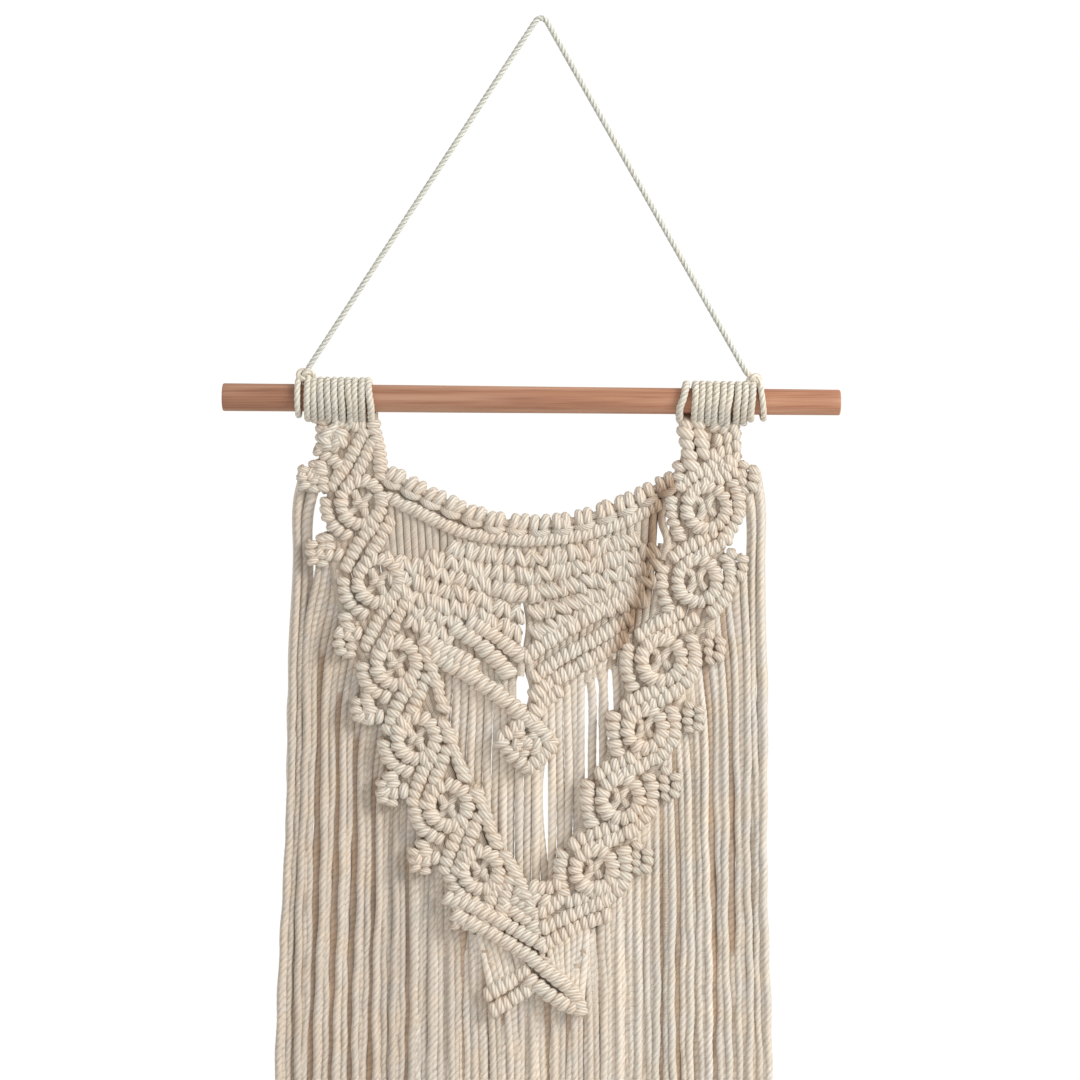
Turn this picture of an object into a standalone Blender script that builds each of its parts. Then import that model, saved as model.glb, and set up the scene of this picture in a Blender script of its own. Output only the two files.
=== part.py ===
"""Macrame wall hanging on a plain wooden rod, with its hanging cord.

The frame: +X to the right, +Y towards the wall, +Z up.  The origin is the hanging point, where the
cord bends over its nail.  Lengths below are in millimetres and become metres as the meshes are made.
"""
import math
import random

import bmesh
import bpy
from mathutils import Matrix, Vector

MM = 0.001
WELD = 0.00001                  # metres: points nearer than this are one point
GAP = 0.3                       # between two pieces that touch

# the rod: a turned stick that narrows a little and hangs slightly down to the right
ROD_LEFT = Vector((-175.0, 0.0, -208.5))
ROD_RIGHT = Vector((164.5, 0.0, -211.5))
ROD_RADIUS_LEFT = 7.7
ROD_RADIUS_RIGHT = 7.1
ROD_SIDES = 32
ROD_EDGE = 1.0                  # rounding of the end's edge

# the hanging cord and its two knots
HANGER_RADIUS = 1.7
HANGER_BEND = 3.5               # centre line's bend over the nail
HANGER_STEP = 10.0
HANGER_BEND_STEPS = 6
LEFT_LOBES = (
    # across, depth, height, radius: the rounded turns of the left knot
    (-133.4, -1.0, -197.2, 3.5),
    (-129.4, -2.3, -195.0, 3.2),
    (-123.9, -2.0, -194.8, 2.6),
)
RIGHT_LOBES = (
    # across, depth, height, radius
    (119.8, -1.0, -199.4, 3.0),
    (116.2, -2.0, -197.2, 2.5),
    (113.6, -1.5, -196.5, 2.3),
)
# where each knot's loop goes round the rod, and how far its foot leans sideways
LEFT_LOOP = (-133.4, 0.0)
RIGHT_LOOP = (120.6, 2.2)
LOOP_RADIUS = 1.8
LOOP_LIFT = 0.25                # the loop's flat sides would come nearer the rod than its corners
LOOP_STEPS = 10

# the working cord, knotted and loose
STRAND_RADIUS = 1.8
HEAD_THICKNESS = 2.9            # of a cord pressed on the rod
HEAD_WIDTH = 6.8                # two turns of cord side by side
HEAD_STEPS = 10
HEAD_GROOVE = 0.9               # between the two turns
HEAD_CROWN = 0.6                # where each turn is highest, as a share of the half width
PLATE_HALF = 2.8                # half thickness of the knotted cloth between its ridges
RIDGE_RADIUS = 4.4              # a row of hitches
RING_RADIUS = 3.8               # the ring-shaped motifs are a little thinner
NET_HALF = 1.6                  # the net between the bands is thinner than they are
COMB_Y = RIDGE_RADIUS + GAP + STRAND_RADIUS
BACK_Y = COMB_Y + 2.0 * STRAND_RADIUS + GAP
FRINGE_END = -760.0
FRINGE_UNEVEN = 4.0

# centres of the lark's heads along the rod
LEFT_HEADS = (-126.1, -119.0, -111.7, -104.4, -96.6)
RIGHT_HEADS = (82.4, 90.6, 98.4, 106.4, 114.1)

# the left band, from its heading to its slanted foot
LEFT_BAND = (
    # height, outer edge, inner edge
    (-220.1, -122.5, -86.0),
    (-234.0, -124.5, -87.0),
    (-250.0, -120.5, -83.8),
    (-276.0, -121.5, -84.5),
    (-298.0, -122.0, -82.0),
    (-320.0, -117.5, -75.0),
    (-342.0, -107.5, -66.0),
    (-360.0, -99.5, -58.5),
    (-378.0, -92.0, -51.5),
    (-396.0, -87.0, -44.5),
    (-416.0, -79.5, -34.5),
    (-436.0, -73.0, -28.0),
    (-452.0, -68.0, -21.5),
    (-466.0, -60.0, -14.5),
    (-481.0, -52.0, -5.5),
    (-502.0, -3.5, -0.2),
)
# the right band
RIGHT_BAND = (
    # height, outer edge, inner edge
    (-221.6, 109.5, 75.0),
    (-234.0, 110.5, 75.5),
    (-250.0, 108.0, 73.0),
    (-276.0, 107.0, 69.0),
    (-298.0, 104.5, 65.5),
    (-320.0, 101.0, 60.0),
    (-342.0, 94.5, 51.5),
    (-360.0, 86.0, 46.5),
    (-378.0, 79.5, 42.5),
    (-396.0, 76.5, 35.5),
    (-416.0, 69.5, 27.0),
    (-432.0, 62.0, 21.0),
    (-447.0, 54.5, 15.0),
    (-463.0, 49.5, 7.5),
    (-478.0, 44.5, 4.0),
    (-489.0, 40.0, 1.5),
    (-502.5, 2.5, 0.4),
)
# ring-shaped motifs, one under another along each band
LEFT_RINGS = (
    # centre across, centre height, half width, half height
    (-99.0, -264.0, 11.0, 15.0),
    (-96.0, -309.0, 12.0, 15.0),
    (-80.0, -356.0, 12.0, 15.0),
    (-66.5, -397.0, 12.0, 15.0),
    (-51.5, -434.5, 12.0, 15.0),
    (-34.5, -469.0, 12.5, 13.5),
)
RIGHT_RINGS = (
    # centre across, centre height, half width, half height
    (90.5, -264.0, 10.5, 15.0),
    (84.0, -309.0, 12.0, 15.0),
    (69.0, -353.0, 12.5, 15.0),
    (58.0, -390.5, 12.5, 14.0),
    (45.0, -428.0, 12.5, 13.5),
    (30.0, -464.0, 12.5, 13.5),
)
# slanting rows of hitches between the rings
LEFT_ROWS = (
    # upper end across, upper end height, lower end across, lower end height
    (-92.0, -226.0, -116.0, -252.0),
    (-91.0, -240.0, -103.0, -252.0),
    (-93.0, -281.0, -115.0, -299.0),
    (-84.0, -325.0, -104.0, -345.0),
    (-64.0, -368.0, -85.0, -390.0),
    (-50.0, -406.0, -69.0, -431.0),
    (-34.0, -444.0, -52.0, -470.0),
)
RIGHT_ROWS = (
    # upper end across, upper end height, lower end across, lower end height
    (81.5, -227.0, 97.0, -246.0),
    (80.0, -240.0, 90.0, -252.0),
    (98.5, -279.0, 76.0, -293.0),
    (94.5, -325.0, 65.0, -337.0),
    (79.0, -366.0, 53.0, -378.0),
    (67.0, -404.0, 38.0, -415.0),
    (54.0, -442.0, 23.0, -449.0),
)
# small loops of cord that stand out from each band's outer edge
LEFT_PICOTS = (
    # across, height
    (-125.5, -253.5),
    (-124.0, -296.0),
    (-110.0, -341.0),
    (-96.0, -382.0),
    (-79.5, -427.0),
    (-64.0, -464.0),
)
RIGHT_PICOTS = (
    # across, height
    (112.5, -255.0),
    (107.0, -302.0),
    (94.5, -346.5),
    (82.5, -379.5),
    (68.5, -421.0),
    (55.5, -458.0),
)
PICOT_SIZE = (6.0, 3.6, 8.0)
RING_HOLE = (1.9, 3.6)          # half width and half height of the opening in each ring
RING_STEPS = 6

# the scalloped heading that hangs between the bands
SWAG_UPPER = ((-81.7, -251.6), (-55.5, -262.5), (-28.0, -272.0), (-0.5, -276.5), (27.0, -273.0),
              (49.0, -264.0), (69.2, -253.6))
SWAG_LOWER = ((-82.0, -260.0), (-55.0, -271.5), (-28.0, -281.0), (-0.5, -285.0), (27.0, -281.5),
              (48.5, -272.5), (67.9, -262.5))
SWAG_RADIUS = 4.6
SWAG_STEP = 0.2                 # the lower row is that much thinner

# the chevron net under it: its outline, then its rows of hitches
NET_OUTLINE = ((-83.6, -265.4), (-55.0, -276.8), (-28.0, -286.2), (-0.5, -290.0), (27.0, -286.6),
               (48.5, -277.8), (68.8, -267.7), (68.4, -276.0), (65.0, -298.0), (59.5, -320.0),
               (51.0, -342.0), (30.0, -358.0), (11.0, -374.0), (8.0, -397.0), (-7.5, -414.0),
               (-22.0, -399.0), (-18.0, -386.0), (-38.0, -370.0), (-60.8, -353.0),
               (-65.4, -342.0), (-74.4, -320.0), (-81.4, -298.0), (-83.9, -276.0))
NET_WINDOWS = (
    # left, right, bottom, top: the openings that show between its cords
    (-77.0, -73.5, -297.0, -281.0),
    (-69.0, -65.5, -299.0, -284.0),
    (-11.0, -7.5, -343.0, -318.0),
    (58.5, 62.0, -297.0, -282.0),
)
NET_ROWS = (
    # left end across, height, right end across, height
    (-66.0, -328.0, -6.0, -377.0),
    (-56.0, -345.0, -6.5, -389.0),
    (53.0, -327.0, 1.5, -373.0),
    (43.0, -343.0, 2.0, -383.0),
    (-74.0, -300.0, -14.0, -352.0),
    (57.0, -303.0, 2.0, -347.0),
    (-17.5, -397.0, -8.5, -408.0),
    (3.0, -397.0, -6.5, -408.0),
)

# the crossed rows where the two bands meet
CROSS_OUTLINE = ((-51.5, -482.0), (-2.5, -502.9), (2.8, -503.1), (40.0, -489.6), (43.0, -495.5),
                 (38.5, -501.0), (5.5, -517.0), (25.5, -534.5), (23.5, -542.0), (19.5, -546.5),
                 (5.5, -542.0),
                 (-2.0, -537.0), (-7.0, -537.5), (-18.5, -548.5), (-26.0, -540.5),
                 (-28.5, -534.5), (-23.0, -528.5), (-14.0, -523.0), (-19.0, -519.0),
                 (-45.5, -500.0), (-50.0, -493.5))
CROSS_ROWS = (
    # left end across, height, right end across, height
    (-46.0, -488.9, -3.0, -509.7),
    (-43.0, -496.5, 20.0, -540.0),
    (4.0, -509.5, 37.0, -496.5),
    (-24.0, -534.0, -10.0, -527.0),
    (-17.5, -543.0, -5.0, -533.0),
)

# the combs of loose strands; each runs along a spine cord that lies behind the knotting
LEFT_SPINE = ((-133.0, -258.0), (-118.0, -262.0), (-112.0, -305.0), (-98.0, -345.0), (-82.0, -385.0),
              (-70.0, -425.0), (-52.0, -463.0), (-43.0, -488.0))
RIGHT_SPINE = ((119.5, -259.0), (104.0, -264.0), (98.0, -305.0), (86.0, -345.0), (73.0, -385.0),
               (63.0, -425.0), (46.0, -463.0), (33.0, -488.0))
CROSS_SPINE = ((-40.0, -499.0), (-21.0, -532.0), (-11.0, -530.0), (0.0, -516.0), (16.0, -532.0),
               (30.0, -499.0))
INNER_SPINE = ((-66.0, -343.0), (-36.0, -365.0), (-7.5, -388.0), (22.0, -363.0), (50.0, -340.0))
COMBS = (
    # name, spine, strands, first foot across, last foot across, depth of the hanging strands
    ("fringe_left", LEFT_SPINE, 22, -147.5, -45.5, COMB_Y),
    ("fringe_cross", CROSS_SPINE, 15, -40.5, 29.5, COMB_Y),
    ("fringe_right", RIGHT_SPINE, 20, 128.0, 34.5, COMB_Y),
    ("fringe_inner", INNER_SPINE, 16, -71.0, 56.0, BACK_Y),
)
STRAND_BEND = 46.0              # how far below its start a strand turns to its hanging line
STRAND_SWING = 0.45             # and the share of its sideways way that it has gone by then
STRAND_STEP = 0.02              # a strand is that much thinner than its spine


def empty_scene():
    for old in list(bpy.data.objects):
        bpy.data.objects.remove(old, do_unlink=True)


def new_collection(name):
    made = bpy.data.collections.new(name)
    bpy.context.scene.collection.children.link(made)
    return made


def finish(name, colour, roughness):
    made = bpy.data.materials.new(name)
    made.use_nodes = True
    shader = made.node_tree.nodes["Principled BSDF"]
    shader.inputs["Base Color"].default_value = (*colour, 1.0)
    shader.inputs["Roughness"].default_value = roughness
    shader.inputs["Metallic"].default_value = 0.0
    return made


def rod_point(x):
    """The rod's centre at a distance across, and its radius there."""
    share = (x - ROD_LEFT.x) / (ROD_RIGHT.x - ROD_LEFT.x)
    radius = ROD_RADIUS_LEFT + (ROD_RADIUS_RIGHT - ROD_RADIUS_LEFT) * share
    return ROD_LEFT.lerp(ROD_RIGHT, share), radius


def rod_turn():
    """The turn that lays a shape's own Z along the rod."""
    return (ROD_RIGHT - ROD_LEFT).to_track_quat("Z", "Y").to_matrix().to_4x4()


def mesh_object(name, mesh, collection, material=None, cutter=False):
    made = bpy.data.objects.new(name, mesh)
    collection.objects.link(made)
    if material:
        mesh.materials.clear()
        mesh.materials.append(material)
    if cutter:
        made.hide_render = True
        made.display_type = "WIRE"
    return made


def curve_mesh(curve):
    """The closed mesh of a curve, with its caps welded on."""
    holder = bpy.data.objects.new("holder", curve)
    bpy.context.scene.collection.objects.link(holder)
    evaluated = holder.evaluated_get(bpy.context.evaluated_depsgraph_get())
    mesh = bpy.data.meshes.new_from_object(evaluated)
    bpy.data.objects.remove(holder, do_unlink=True)
    work = bmesh.new()
    work.from_mesh(mesh)
    bmesh.ops.remove_doubles(work, verts=work.verts, dist=WELD)
    bmesh.ops.recalc_face_normals(work, faces=work.faces)
    work.to_mesh(mesh)
    work.free()
    return mesh


def tube_mesh(name, points, radius, rings=1, closed=False):
    """A round cord through points in millimetres."""
    curve = bpy.data.curves.new(name, "CURVE")
    curve.dimensions = "3D"
    curve.bevel_depth = radius * MM
    curve.bevel_resolution = rings
    curve.use_fill_caps = not closed
    spline = curve.splines.new("POLY")
    spline.points.add(len(points) - 1)
    for target, point in zip(spline.points, points):
        target.co = (*(Vector(point) * MM), 1.0)
    spline.use_cyclic_u = closed
    return curve_mesh(curve)


def plate_mesh(name, outline, half, holes=()):
    """A flat plate in the hanging plane, with holes that go right through."""
    curve = bpy.data.curves.new(name, "CURVE")
    curve.dimensions = "2D"
    curve.fill_mode = "BOTH"
    curve.extrude = half * MM
    for loop in (outline, *holes):
        spline = curve.splines.new("POLY")
        spline.points.add(len(loop) - 1)
        for target, (x, z) in zip(spline.points, loop):
            target.co = (x * MM, z * MM, 0.0, 1.0)
        spline.use_cyclic_u = True
    mesh = curve_mesh(curve)
    mesh.transform(Matrix.Rotation(math.radians(90.0), 4, "X"))
    return mesh


def ball_mesh(name, centre, size, around=8, along=4):
    work = bmesh.new()
    bmesh.ops.create_uvsphere(work, u_segments=around, v_segments=along, radius=1.0)
    bmesh.ops.scale(work, vec=Vector(size) * MM, verts=work.verts)
    bmesh.ops.translate(work, vec=Vector(centre) * MM, verts=work.verts)
    mesh = bpy.data.meshes.new(name)
    work.to_mesh(mesh)
    work.free()
    return mesh


def joined(name, base, additions, parts, tools, material):
    """One solid to be: a base, and a collection of what join_all joins to it."""
    mesh_object(name, base, parts, material)
    group = bpy.data.collections.new(name + "_additions")
    tools.children.link(group)
    for number, mesh in enumerate(additions, 1):
        mesh_object(f"{name}_addition_{number}", mesh, group, cutter=True)


def join_all(parts, tools):
    """The unions come last, so that they are worked out once."""
    for group in tools.children:
        base = parts.objects[group.name.removesuffix("_additions")]
        union = base.modifiers.new("Join", "BOOLEAN")
        union.operation = "UNION"
        union.operand_type = "COLLECTION"
        union.collection = group
        union.solver = "EXACT"


def make_rod(parts, material):
    length = (ROD_RIGHT - ROD_LEFT).length
    bpy.ops.mesh.primitive_cone_add(vertices=ROD_SIDES, radius1=ROD_RADIUS_LEFT * MM,
                                    radius2=ROD_RADIUS_RIGHT * MM, depth=length * MM)
    rod = bpy.context.active_object
    rod.name = "rod"
    for owner in list(rod.users_collection):
        owner.objects.unlink(rod)
    parts.objects.link(rod)
    rod.data.materials.append(material)
    middle = (ROD_LEFT + ROD_RIGHT) / 2.0 * MM
    rod.matrix_world = Matrix.Translation(middle) @ rod_turn()
    rod.data.shade_smooth()
    rod.data.set_sharp_from_angle(angle=math.radians(40.0))
    edge = rod.modifiers.new("Eased ends", "BEVEL")
    edge.width = ROD_EDGE * MM
    edge.segments = 2
    edge.limit_method = "ANGLE"
    edge.angle_limit = math.radians(60.0)


def make_head(name, x, parts, material):
    """A lark's head: two turns of cord round the rod, as one turned ring."""
    centre, radius = rod_point(x)
    inner = (radius + GAP) / math.cos(math.pi / HEAD_STEPS)
    outer = inner + HEAD_THICKNESS
    half = HEAD_WIDTH / 2.0
    crown = half * HEAD_CROWN
    profile = ((inner, half), (outer, crown), (outer - HEAD_GROOVE, 0.0), (outer, -crown),
               (inner, -half))
    work = bmesh.new()
    corners = [work.verts.new((r * MM, 0.0, along * MM)) for r, along in profile]
    for first, second in zip(corners, corners[1:] + corners[:1]):
        work.edges.new((first, second))
    mesh = bpy.data.meshes.new(name)
    work.to_mesh(mesh)
    work.free()
    head = mesh_object(name, mesh, parts, material)
    turn = head.modifiers.new("Turned", "SCREW")
    turn.steps = HEAD_STEPS
    turn.render_steps = HEAD_STEPS
    turn.use_merge_vertices = True
    turn.merge_threshold = WELD
    turn.use_normal_calculate = True
    head.matrix_world = Matrix.Translation(centre * MM) @ rod_turn()


def loop_points(x, lean):
    """A loop of cord round the rod; lean moves its foot sideways."""
    centre, stick = rod_point(x)
    reach = stick + GAP + LOOP_RADIUS + LOOP_LIFT
    points = []
    for step in range(LOOP_STEPS):
        angle = math.tau * step / LOOP_STEPS
        side = lean * (1.0 - math.cos(angle)) / 2.0
        points.append(centre + Vector((side, -math.sin(angle) * reach, math.cos(angle) * reach)))
    return points


def make_hanger_knot(name, loop, lobes, parts, tools, material):
    x, lean = loop
    ring = tube_mesh(name + "_loop", loop_points(x, lean), LOOP_RADIUS, 1, True)
    balls = [ball_mesh(name + "_lobe", (a, b, c), (r, r, r)) for a, b, c, r in lobes]
    joined(name, ring, balls, parts, tools, material)


def cord_end(lobe, towards):
    """Where the hanging cord stops, just clear of its knot."""
    centre = Vector(lobe[:3])
    return centre + (towards - centre).normalized() * (lobe[3] + GAP)


def hanger_route():
    """Up the left leg, round the nail and down the right leg."""
    top = Vector((0.0, 0.0, 0.0))
    left = cord_end(LEFT_LOBES[1], top)
    right = cord_end(RIGHT_LOBES[2], top)
    lean_left = math.atan2(-left.x, -left.z)
    lean_right = math.atan2(right.x, -right.z)
    bend = Vector((0.0, 0.0, -HANGER_BEND))
    first = lean_left - math.pi / 2.0
    last = math.pi / 2.0 - lean_right
    arc = []
    for step in range(HANGER_BEND_STEPS + 1):
        angle = first + (last - first) * step / HANGER_BEND_STEPS
        arc.append(bend + HANGER_BEND * Vector((math.sin(angle), 0.0, math.cos(angle))))
    route = []
    for end, stop in ((left, arc[0]), (right, arc[-1])):
        steps = max(2, round((stop - end).length / HANGER_STEP))
        route.append([end.lerp(stop, step / steps) for step in range(steps)])
    return route[0] + arc + route[1][::-1]


def make_hanger(parts, material):
    mesh = tube_mesh("hanger_cord", hanger_route(), HANGER_RADIUS, 2)
    mesh_object("hanger_cord", mesh, parts, material)


def ring_points(x, z, wide, high):
    points = []
    for step in range(RING_STEPS):
        angle = math.tau * step / RING_STEPS
        points.append((x + wide * math.sin(angle), 0.0, z + high * math.cos(angle)))
    return points


def hole_points(x, z):
    wide, high = RING_HOLE
    return [(x, z + high), (x + wide, z), (x, z - high), (x - wide, z)]


def row_mesh(name, row):
    x1, z1, x2, z2 = row
    return tube_mesh(name, [(x1, 0.0, z1), (x2, 0.0, z2)], RIDGE_RADIUS, 1)


def make_band(name, table, rings, rows, picots, parts, tools, material):
    """One shoulder band: a plate with its motifs, slanting rows and picots."""
    down = [(outer, height) for height, outer, inner in table]
    up = [(inner, height) for height, outer, inner in reversed(table)]
    holes = [hole_points(x, z) for x, z, wide, high in rings]
    base = plate_mesh(name, down + up, PLATE_HALF, holes)
    additions = []
    for x, z, wide, high in rings:
        ring = ring_points(x, z, wide - RIDGE_RADIUS, high - RIDGE_RADIUS)
        additions.append(tube_mesh(name + "_ring", ring, RING_RADIUS, 1, True))
    additions += [row_mesh(name + "_row", row) for row in rows]
    additions += [ball_mesh(name + "_picot", (x, 0.0, z), PICOT_SIZE) for x, z in picots]
    joined(name, base, additions, parts, tools, material)


def make_swag(parts, tools, material):
    upper = tube_mesh("swag", [(x, 0.0, z) for x, z in SWAG_UPPER], SWAG_RADIUS, 2)
    thinner = SWAG_RADIUS - SWAG_STEP
    lower = tube_mesh("swag_row", [(x, 0.0, z) for x, z in SWAG_LOWER], thinner, 2)
    joined("swag", upper, [lower], parts, tools, material)


def make_net(parts, tools, material):
    holes = [((a, b), (c, b), (c, d), (a, d)) for a, c, b, d in NET_WINDOWS]
    base = plate_mesh("centre_net", NET_OUTLINE, NET_HALF, holes)
    additions = [row_mesh("centre_net_row", row) for row in NET_ROWS]
    joined("centre_net", base, additions, parts, tools, material)


def make_cross(parts, tools, material):
    base = plate_mesh("cross", CROSS_OUTLINE, PLATE_HALF)
    additions = [row_mesh("cross_row", row) for row in CROSS_ROWS]
    joined("cross", base, additions, parts, tools, material)


def along(path, share):
    """A point on a polyline that runs one way across, by its share of the way."""
    x = path[0][0] + (path[-1][0] - path[0][0]) * share
    for (x1, z1), (x2, z2) in zip(path, path[1:]):
        if (x - x1) * (x - x2) <= 0.0:
            return x, z1 + (z2 - z1) * (x - x1) / (x2 - x1)
    return path[-1]


def make_comb(name, spine, count, first, last, depth, parts, tools, material):
    """A row of loose strands along the spine cord that carries them."""
    cut = random.Random(name)
    base = tube_mesh(name, [(x, COMB_Y, z) for x, z in spine], STRAND_RADIUS, 1)
    strands = []
    for number in range(count):
        share = (number + 0.5) / count
        x, z = along(spine, share)
        foot = first + (last - first) * number / (count - 1)
        swing = x + (foot - x) * STRAND_SWING
        low = FRINGE_END + cut.uniform(-FRINGE_UNEVEN, FRINGE_UNEVEN)
        route = [(x, COMB_Y, z), (swing, depth, z - STRAND_BEND), (foot, depth, low)]
        strands.append(tube_mesh(f"{name}_strand", route, STRAND_RADIUS - STRAND_STEP, 1))
    joined(name, base, strands, parts, tools, material)


def main():
    empty_scene()
    parts = new_collection("macrame_wall_hanging")
    tools = new_collection("cutters")
    wood = finish("rod_wood", (0.49, 0.27, 0.18), 0.55)
    cotton = finish("cotton_cord", (0.74, 0.67, 0.57), 0.85)
    make_rod(parts, wood)
    for side, centres in (("left", LEFT_HEADS), ("right", RIGHT_HEADS)):
        for number, x in enumerate(centres, 1):
            make_head(f"lark_head_{side}_{number}", x, parts, cotton)
    make_hanger_knot("hanger_knot_left", LEFT_LOOP, LEFT_LOBES, parts, tools, cotton)
    make_hanger_knot("hanger_knot_right", RIGHT_LOOP, RIGHT_LOBES, parts, tools, cotton)
    make_hanger(parts, cotton)
    make_band("left_band", LEFT_BAND, LEFT_RINGS, LEFT_ROWS, LEFT_PICOTS, parts, tools, cotton)
    make_band("right_band", RIGHT_BAND, RIGHT_RINGS, RIGHT_ROWS, RIGHT_PICOTS, parts, tools, cotton)
    make_swag(parts, tools, cotton)
    make_net(parts, tools, cotton)
    make_cross(parts, tools, cotton)
    for name, spine, count, first, last, depth in COMBS:
        make_comb(name, spine, count, first, last, depth, parts, tools, cotton)
    join_all(parts, tools)


main()
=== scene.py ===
import math
import random
from functools import partial

import bmesh
import bpy
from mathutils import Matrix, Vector


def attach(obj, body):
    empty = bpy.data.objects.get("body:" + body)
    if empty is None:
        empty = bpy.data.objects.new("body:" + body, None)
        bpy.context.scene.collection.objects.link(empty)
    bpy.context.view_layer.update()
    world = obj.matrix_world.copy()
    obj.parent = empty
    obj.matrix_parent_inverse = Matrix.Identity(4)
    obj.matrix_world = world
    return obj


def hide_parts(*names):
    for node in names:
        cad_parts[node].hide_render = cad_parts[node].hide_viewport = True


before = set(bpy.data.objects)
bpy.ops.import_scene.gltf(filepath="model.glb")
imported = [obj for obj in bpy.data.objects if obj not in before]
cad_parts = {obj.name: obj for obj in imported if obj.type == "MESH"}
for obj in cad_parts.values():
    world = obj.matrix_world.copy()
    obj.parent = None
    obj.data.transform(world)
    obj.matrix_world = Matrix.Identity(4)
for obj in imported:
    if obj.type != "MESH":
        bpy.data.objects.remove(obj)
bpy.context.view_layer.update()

mm = 0.001
scene = bpy.context.scene


def linear(hexColour):
    parts = [int(hexColour[i:i + 2], 16) / 255 for i in (0, 2, 4)]
    return tuple(c / 12.92 if c <= 0.04045 else ((c + 0.055) / 1.055) ** 2.4 for c in parts) + (1.0,)


def addNode(tree, kind, inputs=None, **settings):
    # adds a node with its settings; an input is given a value, the socket that feeds it, or the node
    # whose first output feeds it
    node = tree.nodes.new(kind)
    for name, value in settings.items():
        setattr(node, name, value)
    for name, value in (inputs or {}).items():
        if isinstance(value, bpy.types.Node):
            value = value.outputs[0]
        if isinstance(value, bpy.types.NodeSocket):
            tree.links.new(value, node.inputs[name])
        else:
            node.inputs[name].default_value = value
    return node


def addObject(name, data):
    made = bpy.data.objects.new(name, data)
    scene.collection.objects.link(made)
    return made


camera = {"distance": 1.65, "lens": 100.0, "across": -0.00055, "height": -0.2871}
cameraData = bpy.data.cameras.new("viewCamera")
cameraData.lens = camera["lens"]
cameraData.sensor_width = 36.0
cameraObject = addObject("viewCamera", cameraData)
cameraObject.location = (camera["across"], -camera["distance"], camera["height"])
cameraObject.rotation_euler = (math.radians(90.0), 0.0, 0.0)
scene.camera = cameraObject
print("camera set")


def newMaterial(name):
    material = bpy.data.materials.new(name)
    material.use_nodes = True
    tree = material.node_tree
    return material, tree, tree.nodes["Principled BSDF"]


# three-ply twisted cotton, unbleached: matt and creamy, each ply a soft ridge with fine fibres along
# it; shade is painted into the grooves between the plies, brown painted shade gathers where one turn of
# cord presses on the next, and a deeper brown is painted on cords that lie in shade
cotton = {
    "ridge": "F3ECE3", "groove": "DCD0C1", "warm": "F8F0E8", "cool": "F4F4F1", "creaseShade": "C8B298",
    "deep": "A68A6E", "ridges": 3.0, "plyHeightMm": 0.35, "fibreMm": 1.25, "fibreLengthMm": 7.0,
    "fibreHeightMm": 0.3, "halfMm": 2.2, "dull": 0.84, "bright": 1.06, "toneLow": 0.95, "waver": 0.8,
    "sheen": 0.2, "blotchMm": 16.0,
    # painted shade at the sides and at the tucked ends of a turn: where it starts, where it is full, how
    # much
    "pressed": ((0.5, 0.85, 0.3), (0.78, 1.04, 0.28)),
}
# the cord over the rod is paler and cleaner than the worked cords, and the hanging cord paler still
rodCotton = {**cotton, "ridge": "F6F2EA", "groove": "E5DDD1", "warm": "F9F5ED", "cool": "F6F6F3",
             "creaseShade": "CDBFAA", "deep": "AF9C84"}
paleCotton = {**cotton, "ridge": "F5F5F0", "groove": "DDDBD3", "warm": "F7F7F2", "cool": "F3F5F3",
              "creaseShade": "C4C1B7", "deep": "A3A097"}
# pulled tight in the knots, each ply shows its own yarns as fine ridges
knottedCotton = {**cotton, "groove": "DFD3C5", "ridges": 8.0, "waver": 5.0, "plyHeightMm": 0.2,
                 "fibreHeightMm": 0.5, "dull": 0.77, "bright": 1.07}
# the loose strands are softer: their plies have opened a little, so the stripes are faint, and some
# strands are duller than their neighbours
looseCotton = {**cotton, "ridge": "F7F2EB", "groove": "E6DCD1", "warm": "FAF4EA", "cool": "F5F4F2",
               "deep": "AA8662", "plyHeightMm": 0.14, "toneLow": 0.9, "bright": 1.13, "sheen": 0.7}


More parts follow.
